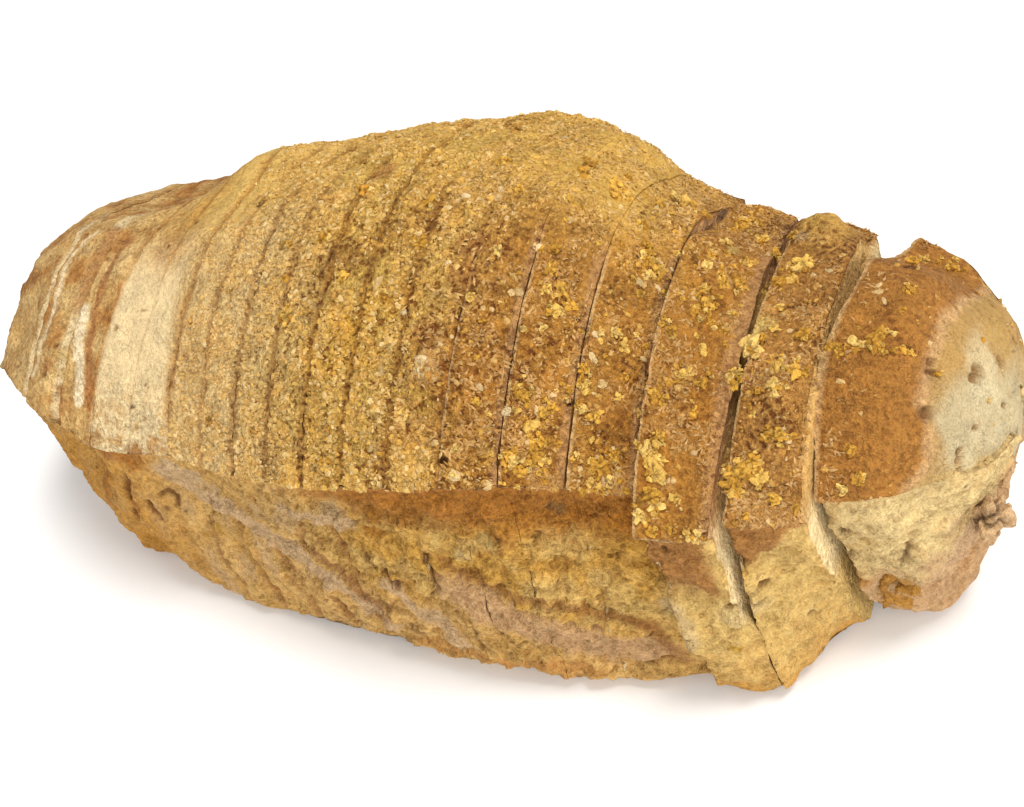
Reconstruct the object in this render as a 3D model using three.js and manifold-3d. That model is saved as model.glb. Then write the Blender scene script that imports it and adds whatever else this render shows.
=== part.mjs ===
// Sliced loaf of corn bread, 18 slices standing as they were cut, the two ends fanned a little.
// Millimetres. X runs along the loaf, +Y is its back, +Z is up and the loaf rests on z = 0.
import * as THREE from "three";
import Module from "manifold-3d";

const wasm = await Module();
wasm.setup();

// ---- driving dimensions ----
const SLICES = 18;
const SLICE = 11; // thickness of a middle slice
const KERF = 0.5; // saw cut between slices
const LOAF_START = -26; // left tip, measured from the first full kerf
const LOAF_END = 229; // right tip before the end slices are fanned
const LAST_THIN = 15; // slices 2 to 15 all have the middle thickness
const SLICE_16 = 13; // these two, before the right heel, are thicker
const SLICE_17 = 14;
const HEEL_START = 205; // where the right heel begins on the loaf

const DOME_STEPS = 26; // facets over the crown
const DOME_FLATNESS = 1.14; // exponent across the crown
const DOME_FULLNESS = 1.8; // exponent up the crown
const LIP_UNDERCUT = 2.0; // recess right under the crust lip
const FOOT_BULGE = 1.0; // swell of the wall above the foot
const FOOT_ROUND = 2.5; // rounding where the wall meets the underside
const WALL_SWEEP = 1.5; // exponent of the wall's sweep from lip width to foot width

// where things happen down the wall, 0 at the crust lip and 1 at the underside
const UNDERCUT_FULL = 0.05;
const UNDERCUT_END = 0.45;
const BULGE_START = 0.35;
const BULGE_END = 0.95;
const ROUND_START = 0.93;
const WALL_STEPS = [0.05, 0.2, 0.38, 0.56, 0.74, 0.9, 0.965, 1];
const UNDERSIDE_STEPS = [0.33, 0.67];

// ---- loaf shape along its length ----
// front / back: half widths at the crust lip; crown: height; lip: height of the front crust lip;
// footFront / footBack: half widths at the underside; under: height of the underside
const STATIONS = [
  { x: -26, front: 6, back: 8, crown: 41, lip: 36, footFront: 4, footBack: 5, under: 26 },
  { x: -23.5, front: 14, back: 14, crown: 45.5, lip: 40, footFront: 11, footBack: 12, under: 12 },
  { x: -18, front: 23.5, back: 21, crown: 54.5, lip: 48, footFront: 22, footBack: 19, under: 2 },
  { x: -8, front: 31, back: 30.5, crown: 68.5, lip: 57, footFront: 33, footBack: 27, under: 0 },
  { x: 11, front: 41.5, back: 39.5, crown: 76.5, lip: 60, footFront: 43.3, footBack: 36, under: 0 },
  { x: 33, front: 49.5, back: 53, crown: 78, lip: 56, footFront: 50.5, footBack: 49, under: 0 },
  { x: 55, front: 48.5, back: 64.5, crown: 81, lip: 55, footFront: 55.5, footBack: 57, under: 0 },
  { x: 77, front: 52, back: 66, crown: 87.5, lip: 57, footFront: 57.5, footBack: 58, under: 0 },
  { x: 99, front: 55, back: 63, crown: 92.5, lip: 62, footFront: 58, footBack: 57, under: 0 },
  { x: 121, front: 55.5, back: 59.5, crown: 94.5, lip: 67, footFront: 58, footBack: 55, under: 0 },
  { x: 143, front: 51.5, back: 48.5, crown: 91, lip: 66.5, footFront: 57, footBack: 47, under: 0 },
  { x: 154, front: 48, back: 42, crown: 84, lip: 63, footFront: 54, footBack: 41, under: 0 },
  { x: 165, front: 43.5, back: 43, crown: 76, lip: 58, footFront: 50, footBack: 39, under: 0 },
  { x: 178, front: 41, back: 42, crown: 69, lip: 56.5, footFront: 42, footBack: 38, under: 0 },
  { x: 192, front: 38, back: 40, crown: 69.5, lip: 57.5, footFront: 24.5, footBack: 37, under: 0 },
  { x: 205, front: 37, back: 35, crown: 71, lip: 55, footFront: 25, footBack: 32, under: 0 },
  { x: 215, front: 33, back: 31.5, crown: 70, lip: 54, footFront: 24, footBack: 29, under: 0 },
  { x: 220, front: 27, back: 27.5, crown: 65, lip: 51, footFront: 19, footBack: 24, under: 5 },
  { x: 225, front: 18.5, back: 21, crown: 58.5, lip: 47, footFront: 12, footBack: 17, under: 17 },
  { x: 228, front: 10, back: 14, crown: 51, lip: 43, footFront: 6, footBack: 9, under: 29 },
  { x: 229, front: 5, back: 8, crown: 47, lip: 42, footFront: 4, footBack: 5, under: 33 },
];

// ---- how each slice stands: shift along X and Y, lean of its top to the left, turn about Z ----
const UPRIGHT = { dx: 0, dy: 0, lean: 0, turn: 0 };
const FOOT_TRIM = { 16: [6, 0] }; // foot lost in front, at the left and at the right face
const STANCE = {
  1: { dx: -3.4, dy: 0.4, lean: 0, turn: 0.9 },
  2: { dx: -2.6, dy: -0.6, lean: 0, turn: 0.9 },
  3: { dx: -0.4, dy: 0.3, lean: 0, turn: 0 },
  13: { dx: 0.35, dy: 0, lean: 0.005, turn: 0 },
  14: { dx: 1.2, dy: 0.6, lean: 0.015, turn: 0 },
  15: { dx: 2.7, dy: 0.8, lean: 0.034, turn: 0 },
  16: { dx: 11.3, dy: -8.5, lean: 0.148, turn: 0 },
  17: { dx: 11.4, dy: -5.5, lean: 0.12, turn: 0 },
  18: { dx: 4.7, dy: -1, lean: 0.16, turn: -5.7 },
};

// ---- slices that are thicker at the foot than at the crown ----
const FOOT_SPREAD = { 15: 8 }; // how far the foot of the right face stands out
const SPREAD_TOP = 56; // height at which that ends

// ---- relief of the crust and of the torn foot ----
const CROWN_RELIEF = 0.45;
const FOOT_RELIEF = 0.8;
const TORN_RELIEF = 1.7; // foot in front of slices 16 to 18, torn open in the oven
const TORN_FROM = 166; // loaf coordinate where the torn foot begins
const WALL_BUMPS_CLOSER = 1.6; // how much closer the wall's bumps follow each other than the crown's
const WALL_BUMPS_SLANT = 0.5; // how much they change from the lip down to the underside
const ROUGH_END = 1.05; // brings the wall's roughness to nothing just above the underside

// ---- cross sections along each slice, as fractions of its thickness ----
const SLICE_STEPS = [0, 0.34, 0.67, 1];
const HEEL_STEPS = {
  1: [0, 0.06, 0.18, 0.36, 0.6, 0.8, 1],
  18: [0, 0.25, 0.48, 0.68, 0.84, 0.95, 1],
};

// ---- corn crumbs baked onto the crown: how many sit on each slice ----
const CRUMBS = { 6: 2, 7: 2, 8: 3, 9: 4, 10: 4, 11: 5, 12: 7, 13: 9, 14: 11, 15: 10, 16: 10, 17: 11, 18: 6 };
const CRUMB_MAX = 2.6; // half length of the largest crumb
const CRUMB_MIN = 1.3;
const CRUMB_SLIMMEST = 0.75; // the narrowest crumb, as a share of its size; the broadest is 1
const CRUMB_WIDTH = 0.9; // across the loaf, as a share of its size
const CRUMB_HEIGHT = 0.75;
const CRUMB_CLEARANCE = 0.5; // between crumbs
const CRUMB_INSET = 0.4; // from a slice's cut faces
const CRUMB_ARC = [0.06, 0.68]; // stretch of the crown that carries them, 0 in front and 1 behind
const CRUMB_TRIES = 400;
const HEEL_CRUMBS_END = 217; // loaf coordinate
const CRUMB_SEED = 4127;

// ---- colours ----
const CRUST_COLOR = 0xc38f4f;
const PALE_COLOR = 0xead9b0; // slices 4 and 5 have no browned crust on top
const PALE_SLICES = [4, 5];

// ---- lumps of dough: slice, centre in loaf coordinates, half sizes ----
const LUMPS = [
  { slice: 17, at: [184, 30, 63], size: [4.5, 6, 6] },
  { slice: 18, at: [225, -18, 29], size: [5, 5.5, 6.5] },
  { slice: 18, at: [211, -25, 14], size: [4, 4.5, 7] },
];
const LUMP_SEED = 77;
const SWELL = [0.78, 1.22]; // how far a lump's or a crumb's corners reach, as shares of its half size

function clamp01(value) {
  return Math.min(Math.max(value, 0), 1);
}

// smooth curve of one measure through the stations
function curve(key, x) {
  const s = STATIONS;
  let i = 0;
  while (i < s.length - 2 && x > s[i + 1].x) i += 1;
  const slope = (j) => {
    const a = s[Math.max(j - 1, 0)];
    const b = s[Math.min(j + 1, s.length - 1)];
    return (b[key] - a[key]) / (b.x - a.x);
  };
  const span = s[i + 1].x - s[i].x;
  const t = clamp01((x - s[i].x) / span);
  const t2 = t * t;
  const t3 = t2 * t;
  return (
    (2 * t3 - 3 * t2 + 1) * s[i][key] +
    (t3 - 2 * t2 + t) * span * slope(i) +
    (3 * t2 - 2 * t3) * s[i + 1][key] +
    (t3 - t2) * span * slope(i + 1)
  );
}

// slow bumps, the same wherever they are asked for; a runs round the section, 0 to 1
function bumps(x, a) {
  return (
    0.5 * Math.sin(0.21 * x + 17 * a + 1.3) +
    0.3 * Math.sin(0.47 * x - 31 * a + 0.4) +
    0.2 * Math.sin(0.93 * x + 53 * a + 2.2)
  );
}

// crown, from the front lip (phi = 0) over the top to the back lip (phi = PI)
function domePoint(x, phi) {
  const c = Math.cos(phi);
  const side = c > 0 ? -1 : 1;
  const half = curve(side < 0 ? "front" : "back", x);
  const lip = curve("lip", x);
  const y = side * half * Math.abs(c) ** DOME_FLATNESS;
  const z = lip + (curve("crown", x) - lip) * Math.abs(Math.sin(phi)) ** DOME_FULLNESS;
  const swell = CROWN_RELIEF * bumps(x, phi / Math.PI) * Math.sin(phi);
  return [y - swell * c, z + swell];
}

// wall from the crust lip (t = 0) to the underside (t = 1)
function wallPoint(x, t, side, trim) {
  const lipWidth = curve(side < 0 ? "front" : "back", x);
  const footWidth = curve(side < 0 ? "footFront" : "footBack", x) - (side < 0 ? trim : 0);
  const lip = curve("lip", x);
  const under = Math.max(curve("under", x), 0);
  const recess = LIP_UNDERCUT * Math.min(t / UNDERCUT_FULL, 1) * Math.max(1 - t / UNDERCUT_END, 0);
  const bulgeAt = clamp01((t - BULGE_START) / (BULGE_END - BULGE_START));
  const bulge = FOOT_BULGE * Math.sin(Math.PI * bulgeAt);
  const round = FOOT_ROUND * clamp01((t - ROUND_START) / (1 - ROUND_START)) ** 2;
  const depth = x > TORN_FROM && side < 0 ? TORN_RELIEF : FOOT_RELIEF;
  const bumpsThere = bumps(x * WALL_BUMPS_CLOSER, side * t * WALL_BUMPS_SLANT);
  const rough = depth * bumpsThere * Math.sin(Math.PI * clamp01(t * ROUGH_END));
  const width = lipWidth + (footWidth - lipWidth) * t ** WALL_SWEEP - recess + bulge - round + rough;
  return [side * width, lip + (under - lip) * t];
}

// one closed outline across the loaf: over the crown, down behind, along the underside, up in front
function section(x, trim) {
  const ring = [];
  for (let i = 0; i <= DOME_STEPS; i += 1) ring.push(domePoint(x, (Math.PI * i) / DOME_STEPS));
  for (const t of WALL_STEPS) ring.push(wallPoint(x, t, 1, trim));
  const backFoot = wallPoint(x, 1, 1, trim);
  const frontFoot = wallPoint(x, 1, -1, trim);
  for (const u of UNDERSIDE_STEPS) {
    ring.push([backFoot[0] + (frontFoot[0] - backFoot[0]) * u, backFoot[1]]);
  }
  for (const t of [...WALL_STEPS].reverse()) ring.push(wallPoint(x, t, -1, trim));
  return ring;
}

// where a slice starts and ends along the loaf
function sliceRange(n) {
  const half = KERF / 2;
  const last = LAST_THIN * SLICE;
  if (n === 1) return [LOAF_START, SLICE - half];
  if (n === 16) return [last + half, last + SLICE_16 - half];
  if (n === 17) return [last + SLICE_16 + half, last + SLICE_16 + SLICE_17 - half];
  if (n === SLICES) return [HEEL_START, LOAF_END];
  return [(n - 1) * SLICE + half, n * SLICE - half];
}

// how far a point moves along X because its slice is thicker at the foot
function footSpread(n, x, z) {
  const [from, to] = sliceRange(n);
  const u = (x - from) / (to - from);
  return (FOOT_SPREAD[n] || 0) * u * Math.max(1 - z / SPREAD_TOP, 0);
}

function stations(n) {
  const [from, to] = sliceRange(n);
  const steps = HEEL_STEPS[n] || SLICE_STEPS;
  return steps.map((u) => from + (to - from) * u);
}

// moves a point of the whole loaf to where its slice stands
function stand(n, [x, y, z]) {
  const { dx, dy, lean, turn } = STANCE[n] || UPRIGHT;
  const [from, to] = sliceRange(n);
  const pivot = (from + to) / 2;
  const angle = THREE.MathUtils.degToRad(turn);
  const c = Math.cos(angle);
  const s = Math.sin(angle);
  const along = x + footSpread(n, x, z) - pivot;
  return [pivot + c * along - s * y + dx - lean * z, s * along + c * y + dy, z];
}

function solidOf(vertices, triangles) {
  const mesh = new wasm.Mesh({
    numProp: 3,
    vertProperties: new Float32Array(vertices.flat()),
    triVerts: new Uint32Array(triangles.flat()),
  });
  return new wasm.Manifold(mesh);
}

function sliceBody(n) {
  const xs = stations(n);
  const [trimLeft, trimRight] = FOOT_TRIM[n] || [0, 0];
  const trimAt = (x) => trimLeft + ((trimRight - trimLeft) * (x - xs[0])) / (xs.at(-1) - xs[0]);
  const rings = xs.map((x) => section(x, trimAt(x)).map(([y, z]) => [x, y, z]));
  const count = rings[0].length;
  const vertices = rings.flat().map((p) => stand(n, p));
  const triangles = [];
  for (let i = 0; i < xs.length - 1; i += 1) {
    for (let j = 0; j < count; j += 1) {
      const k = (j + 1) % count;
      const a = i * count + j;
      const b = i * count + k;
      triangles.push([a, b + count, b], [a, a + count, b + count]);
    }
  }
  const outline = rings[0].map(([, y, z]) => new THREE.Vector2(y, z));
  const outlineEnd = rings.at(-1).map(([, y, z]) => new THREE.Vector2(y, z));
  const last = (xs.length - 1) * count;
  const clockwise = THREE.ShapeUtils.isClockWise(outline);
  for (const [a, b, c] of THREE.ShapeUtils.triangulateShape(outline, [])) {
    triangles.push(clockwise ? [a, c, b] : [a, b, c]);
  }
  for (const [a, b, c] of THREE.ShapeUtils.triangulateShape(outlineEnd, [])) {
    triangles.push(clockwise ? [last + a, last + b, last + c] : [last + a, last + c, last + b]);
  }
  return solidOf(vertices, triangles);
}

function makeRandom(seed) {
  let state = seed;
  return () => {
    state = (state * 16807) % 2147483647;
    return state / 2147483647;
  };
}

// uneven lump made from an icosahedron
function lumpAt(centre, size, random, detail) {
  const ball = new THREE.IcosahedronGeometry(1, detail);
  const position = ball.getAttribute("position");
  const seen = new Map();
  const vertices = [];
  const triangles = [];
  const corner = [];
  for (let i = 0; i < position.count; i += 1) {
    const p = [position.getX(i), position.getY(i), position.getZ(i)];
    const key = p.map((v) => v.toFixed(4)).join();
    if (!seen.has(key)) {
      seen.set(key, vertices.length);
      const swell = SWELL[0] + (SWELL[1] - SWELL[0]) * random();
      vertices.push(p.map((v, axis) => centre[axis] + v * size[axis] * swell));
    }
    corner.push(seen.get(key));
    if (corner.length === 3) triangles.push(corner.splice(0));
  }
  return solidOf(vertices, triangles);
}

function crumbsOf(n) {
  const total = CRUMBS[n] || 0;
  const random = makeRandom(CRUMB_SEED + 97 * n);
  const [from, end] = sliceRange(n);
  const to = Math.min(end, HEEL_CRUMBS_END);
  const [arcStart, arcEnd] = CRUMB_ARC;
  const placed = [];
  for (let tries = 0; placed.length < total && tries < CRUMB_TRIES; tries += 1) {
    const size = CRUMB_MAX - ((CRUMB_MAX - CRUMB_MIN) * placed.length) / total;
    const margin = size + CRUMB_INSET;
    const x = from + margin + random() * (to - from - 2 * margin);
    const phi = Math.PI * (arcStart + (arcEnd - arcStart) * random());
    const [y, z] = domePoint(x, phi);
    const distance = (p) => Math.hypot(p.x - x, p.y - y, p.z - z);
    const clear = placed.every((p) => distance(p) > p.size + size + CRUMB_CLEARANCE);
    if (clear) {
      const spread = CRUMB_SLIMMEST + (1 - CRUMB_SLIMMEST) * random();
      placed.push({ x, y, z, size, spread, random });
    }
  }
  return placed;
}

function buildSlice(n) {
  let body = sliceBody(n);
  for (const { x, y, z, size, spread, random } of crumbsOf(n)) {
    const grain = [size * spread, size * CRUMB_WIDTH, size * CRUMB_HEIGHT];
    body = body.add(lumpAt(stand(n, [x, y, z]), grain, random, 0));
  }
  for (const lump of LUMPS.filter((l) => l.slice === n)) {
    body = body.add(lumpAt(stand(n, lump.at), lump.size, makeRandom(LUMP_SEED + n), 1));
  }
  return body.trimByPlane([0, 0, 1], 0);
}

function geometryOf(solid, shift) {
  const mesh = solid.getMesh();
  const points = new Float32Array(mesh.vertProperties);
  for (let i = 0; i < points.length; i += 3) {
    for (let axis = 0; axis < 3; axis += 1) points[i + axis] -= shift[axis];
  }
  const geometry = new THREE.BufferGeometry();
  geometry.setAttribute("position", new THREE.BufferAttribute(points, 3));
  geometry.setIndex(new THREE.BufferAttribute(new Uint32Array(mesh.triVerts), 1));
  geometry.computeVertexNormals();
  return geometry;
}

const solids = Array.from({ length: SLICES }, (_, i) => buildSlice(i + 1));
const boxes = solids.map((solid) => solid.boundingBox());
const low = [0, 1, 2].map((axis) => Math.min(...boxes.map((box) => box.min[axis])));
const high = [0, 1, 2].map((axis) => Math.max(...boxes.map((box) => box.max[axis])));
const origin = [(low[0] + high[0]) / 2, (low[1] + high[1]) / 2, low[2]];

const loaf = new THREE.Group();
loaf.name = "sliced_corn_loaf";
solids.forEach((solid, i) => {
  const color = PALE_SLICES.includes(i + 1) ? PALE_COLOR : CRUST_COLOR;
  const material = new THREE.MeshStandardMaterial({ color, roughness: 0.9, metalness: 0 });
  const mesh = new THREE.Mesh(geometryOf(solid, origin), material);
  mesh.name = `slice_${String(i + 1).padStart(2, "0")}`;
  loaf.add(mesh);
});

export default loaf;
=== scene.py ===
"""Looks of the sliced cornbread loaf.

Every slice is rebuilt round its solid from the same measures, with crags, pores, chipped edges and
torn crumb as real relief. Cornmeal, corn crumbs and seeds are scattered on the crown as real mesh.
Lengths are millimetres in loaf coordinates until a mesh is made: x runs from the first full kerf
along the loaf, y to its back and z up from the board.
"""

import bpy
import numpy as np
from mathutils import Matrix, Vector
from mathutils.bvhtree import BVHTree


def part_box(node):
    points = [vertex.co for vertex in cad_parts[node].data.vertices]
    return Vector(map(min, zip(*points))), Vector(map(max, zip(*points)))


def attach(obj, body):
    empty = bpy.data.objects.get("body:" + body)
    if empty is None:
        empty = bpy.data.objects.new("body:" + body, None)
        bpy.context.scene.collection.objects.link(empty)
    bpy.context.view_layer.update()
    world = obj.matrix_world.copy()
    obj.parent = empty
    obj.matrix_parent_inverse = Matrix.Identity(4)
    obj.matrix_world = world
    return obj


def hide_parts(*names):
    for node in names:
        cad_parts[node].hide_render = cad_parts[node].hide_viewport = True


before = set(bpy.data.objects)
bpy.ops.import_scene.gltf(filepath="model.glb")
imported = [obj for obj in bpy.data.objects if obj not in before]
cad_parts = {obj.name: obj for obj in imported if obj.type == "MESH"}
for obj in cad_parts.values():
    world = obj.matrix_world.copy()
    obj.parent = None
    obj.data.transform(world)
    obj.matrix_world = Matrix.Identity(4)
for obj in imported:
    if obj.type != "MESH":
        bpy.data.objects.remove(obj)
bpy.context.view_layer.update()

MM = 0.001

# ---- camera fitted to the picture, in loaf coordinates ----
IMAGE_WIDTH = 1024
IMAGE_HEIGHT = 807
FOCAL_PIXELS = 1127.56
CAMERA_AT = Vector((232.2, -153.28, 224.3))
CAMERA_RIGHT = Vector((0.89963, 0.34545, -0.26707))
CAMERA_UP = Vector((-0.09958, 0.75783, 0.64481))
CAMERA_BACK = Vector((0.42514, -0.55350, 0.71617))

# ---- loaf measures, the same as the solids' ----
SLICES = 18
SLICE = 11.0
KERF = 0.5
LOAF_START = -26.0
LOAF_END = 229.0
LAST_THIN = 15
SLICE_16 = 13.0
SLICE_17 = 14.0
HEEL_START = 205.0
DOME_FLATNESS = 1.14
DOME_FULLNESS = 1.8
LIP_UNDERCUT = 2.0
FOOT_BULGE = 1.0
FOOT_ROUND = 2.5
CROWN_RELIEF = 0.45
FOOT_RELIEF = 0.8
TORN_RELIEF = 1.7
TORN_FROM = 166.0

MEASURES = ("x", "front", "back", "crown", "lip", "footFront", "footBack", "under")
STATIONS = dict(zip(MEASURES, np.array([
    (-26, 6, 8, 41, 36, 4, 5, 26),
    (-23.5, 14, 14, 45.5, 40, 11, 12, 12),
    (-18, 23.5, 21, 54.5, 48, 22, 19, 2),
    (-8, 31, 30.5, 68.5, 57, 33, 27, 0),
    (11, 41.5, 39.5, 76.5, 60, 43.3, 36, 0),
    (33, 49.5, 53, 78, 56, 50.5, 49, 0),
    (55, 48.5, 64.5, 81, 55, 55.5, 57, 0),
    (77, 52, 66, 87.5, 57, 57.5, 58, 0),
    (99, 55, 63, 92.5, 62, 58, 57, 0),
    (121, 55.5, 59.5, 94.5, 67, 58, 55, 0),
    (143, 51.5, 48.5, 91, 66.5, 57, 47, 0),
    (154, 48, 42, 84, 63, 54, 41, 0),
    (165, 43.5, 43, 76, 58, 50, 39, 0),
    (178, 41, 42, 69, 56.5, 42, 38, 0),
    (192, 38, 40, 69.5, 57.5, 24.5, 37, 0),
    (205, 37, 35, 71, 55, 25, 32, 0),
    (215, 33, 31.5, 70, 54, 24, 29, 0),
    (220, 27, 27.5, 65, 51, 19, 24, 5),
    (225, 18.5, 21, 58.5, 47, 12, 17, 17),
    (228, 10, 14, 51, 43, 6, 9, 29),
    (229, 5, 8, 47, 42, 4, 5, 33),
], float).T))

FOOT_TRIM = {16: (6.0, 0.0)}
FOOT_SPREAD = {15: 8.0}  # how far the foot of a slice's right face stands out
SPREAD_TOP = 56.0
UPRIGHT = (0, 0, 0, 0)
STANCE = {  # shift along x, shift along y, lean of the top to the left, turn in degrees
    1: (-3.4, 0.4, 0.0, 0.9),
    2: (-2.6, -0.6, 0.0, 0.9),
    3: (-0.4, 0.3, 0.0, 0.0),
    13: (0.35, 0.0, 0.005, 0.0),
    14: (1.2, 0.6, 0.015, 0.0),
    15: (2.7, 0.8, 0.034, 0.0),
    16: (11.3, -8.5, 0.148, 0.0),
    17: (11.4, -5.5, 0.12, 0.0),
    18: (4.7, -1.0, 0.16, -5.7),
}

# the row's origin in loaf coordinates: x comes from the frame, y is the middle of the loaf's width
ORIGIN = np.array([9 * SLICE + KERF / 2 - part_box("slice_10")[0][0] / MM, 3.868, 0.0])

# ---- colours, as a screen shows them under the studio light ----
CRUST_TAN = (206, 158, 94)
# brown crust, also used as painted shade in the saw cuts' grooves
CRUST_BROWN_AND_SHADE = (172, 113, 40)
# dark crust, also used as painted shade in pores, saw cuts, creases and the hollows of the relief
CRUST_DARK_AND_SHADE = (112, 62, 16)
CRUST_GOLD = (228, 184, 90)
MUSTARD = (230, 174, 66)
# pale meal, also used as a painted highlight on the crown's crags
MEAL_SAND_AND_HIGHLIGHT = (236, 199, 134)
PALE_SKIN = (236, 208, 156)
PALE_RIM = (208, 164, 110)
PALE_YELLOW = (182, 143, 82)
PALE_END = (196, 176, 134)
LEFT_TAN = (212, 168, 102)
# brown crust with painted shade under the lip's overhang
UNDER_LIP_BROWN_AND_SHADE = (180, 112, 30)
FOOT_YELLOW = (222, 168, 72)
FOOT_TAN = (217, 168, 90)
FOOT_PINK = (232, 186, 112)
FOOT_ORANGE = (210, 146, 52)
# torn crumb, also used as a painted highlight on the walls' fine relief
TORN_CRUMB_AND_HIGHLIGHT = (229, 190, 113)
TORN_GOLD = (222, 176, 98)
LOW_CRUMB = (227, 197, 136)
LOW_PINK = (208, 166, 120)
CRUMB_CREAM = (240, 212, 156)
CRUMB_KHAKI = (226, 178, 104)
# crumb in the gaps, painted lighter than its own colour as painted light
GAP_CRUMB_PAINTED_LIGHT = (255, 226, 168)
CUT_TAN = (186, 140, 92)
FACE_CRUST = (204, 150, 94)
CRUMB_SHADE = (160, 116, 62)
# painted shade in pits and pores
PIT_SHADE = (104, 58, 18)
# painted highlight along the lip and along the fanned slices' left edges
BASE_BROWN = (164, 112, 54)
LIP_HIGHLIGHT = (232, 192, 132)
LEFT_BROWN = (188, 128, 62)
HEEL_BROWN = (171, 114, 46)
HEEL_GOLD = (206, 166, 92)
HEEL_FLOUR = (216, 198, 156)
# brown crust with painted shade under the lip of the torn slices
TORN_BROWN_AND_LIP_SHADE = (176, 120, 60)
# painted shade along the edges of torn flakes, these two
TORN_FLAKE_EDGE_SHADE = (180, 128, 62)
FLAKE_EDGE_SHADE = (150, 98, 36)
RIDGE_PINK = (222, 184, 136)
# painted shade in a saw cut scored down a wall
SCORE_SHADE = (158, 104, 54)
DENT_SHADE = (150, 108, 58)
STUDIO_GAIN = 1.25  # how much brighter than its own colour a surface shows


def linear(rgb):
    """The surface colour that looks like this screen colour in the studio."""
    c = np.asarray(rgb, float) / 255
    return np.where(c <= 0.04045, c / 12.92, ((c + 0.055) / 1.055) ** 2.4) / STUDIO_GAIN


def ramp(value, low, high):
    """0 below low, 1 above high and smooth between; low may be the larger."""
    t = np.clip((value - low) / (high - low), 0, 1)
    return t * t * (3 - 2 * t)


def tint(color, other, amount):
    """A colour with another screen colour over it by an amount from 0 to 1."""
    return color + (linear(other) - color) * np.asarray(amount)[..., None]


def painted(color, *layers):
    """A colour under layers of other colours, each with its amount from 0 to 1."""
    for other, amount in layers:
        color = tint(color, other, amount)
    return color


def unit(vectors):
    """Vectors made one long."""
    return vectors / np.linalg.norm(vectors, axis=-1, keepdims=True)


# ---- seeded noise ----
def lattice(i, j, k, seed):
    """A number from 0 to 1 for each point of a whole-numbered grid, by a plain integer hash."""
    h = (i * 374761393 + j * 668265263 + k * 1440662683 + seed * 1274126177) & 0xFFFFFFFF
    h = ((h ^ (h >> 13)) * 1274126177) & 0xFFFFFFFF
    h = ((h ^ (h >> 15)) * 2246822519) & 0xFFFFFFFF
    return ((h ^ (h >> 16)) & 0xFFFFFF) / 0xFFFFFF


def noise(p, size, seed):
    """Smooth noise from -1 to 1 whose bumps are about size across."""
    q = p / size
    base = np.floor(q).astype(np.int64)
    f = q - base
    w = f * f * (3 - 2 * f)
    share = (1 - w, w)
    total = 0
    for di, dj, dk in np.ndindex(2, 2, 2):
        weight = share[di][..., 0] * share[dj][..., 1] * share[dk][..., 2]
        total = total + weight * lattice(base[..., 0] + di, base[..., 1] + dj, base[..., 2] + dk, seed)
    return 2 * total - 1


def layered(p, size, seed, layers=3):
    """Noise from -1 to 1 in layers, each half as large and half as strong as the one before."""
    total = 0
    for layer in range(layers):
        total = total + noise(p, size / 2 ** layer, seed + layer) / 2 ** layer
    return total / (2 - 2 ** (1 - layers))


def holes(p, cell, seed, chance, radius):
    """Depth of round pores, 0 to 1: one in some cells of a grid, of uneven radius."""
    q = p / cell
    base = np.floor(q).astype(np.int64)
    depth = np.zeros(p.shape[:-1])
    for neighbour in np.ndindex(3, 3, 3):
        i, j, k = np.moveaxis(base + neighbour, -1, 0) - 1
        drawn = [lattice(i, j, k, seed + step) for step in range(5)]
        centre = np.stack([i + drawn[0], j + drawn[1], k + drawn[2]], -1)
        size = radius * (0.35 + 0.65 * drawn[4]) / cell
        away = np.linalg.norm(q - centre, axis=-1) / size
        depth = np.maximum(depth, np.where(drawn[3] < chance, ramp(away, 1.0, 0.45), 0))
    return depth


# ---- shape of the whole loaf ----
def curve(key, x):
    """One of the measures at x, on a smooth curve through its stations."""
    xs, v = STATIONS["x"], STATIONS[key]
    slope = np.diff(v) / np.diff(xs)
    slope = np.concatenate([slope[:1], (v[2:] - v[:-2]) / (xs[2:] - xs[:-2]), slope[-1:]])
    i = np.clip(np.searchsorted(xs, x) - 1, 0, len(xs) - 2)
    span = xs[i + 1] - xs[i]
    t = np.clip((x - xs[i]) / span, 0, 1)
    t2, t3 = t * t, t * t * t
    return (
        (2 * t3 - 3 * t2 + 1) * v[i] + (t3 - 2 * t2 + t) * span * slope[i]
        + (3 * t2 - 2 * t3) * v[i + 1] + (t3 - t2) * span * slope[i + 1]
    )


def bumps(x, a):
    """The solids' own relief: three waves, from -1 to 1."""
    return (
        0.5 * np.sin(0.21 * x + 17 * a + 1.3)
        + 0.3 * np.sin(0.47 * x - 31 * a + 0.4)
        + 0.2 * np.sin(0.93 * x + 53 * a + 2.2)
    )


def dome_point(x, across):
    """Y and z of the crown at x, with across from 0 at the front lip to 1 at the back lip."""
    phi = np.pi * across
    c = np.cos(phi)
    side = np.where(c > 0, -1, 1)
    half = np.where(c > 0, curve("front", x), curve("back", x))
    lip = curve("lip", x)
    y = side * half * np.abs(c) ** DOME_FLATNESS
    z = lip + (curve("crown", x) - lip) * np.abs(np.sin(phi)) ** DOME_FULLNESS
    swell = CROWN_RELIEF * bumps(x, across) * np.sin(phi)
    return y - swell * c, z + swell


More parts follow.
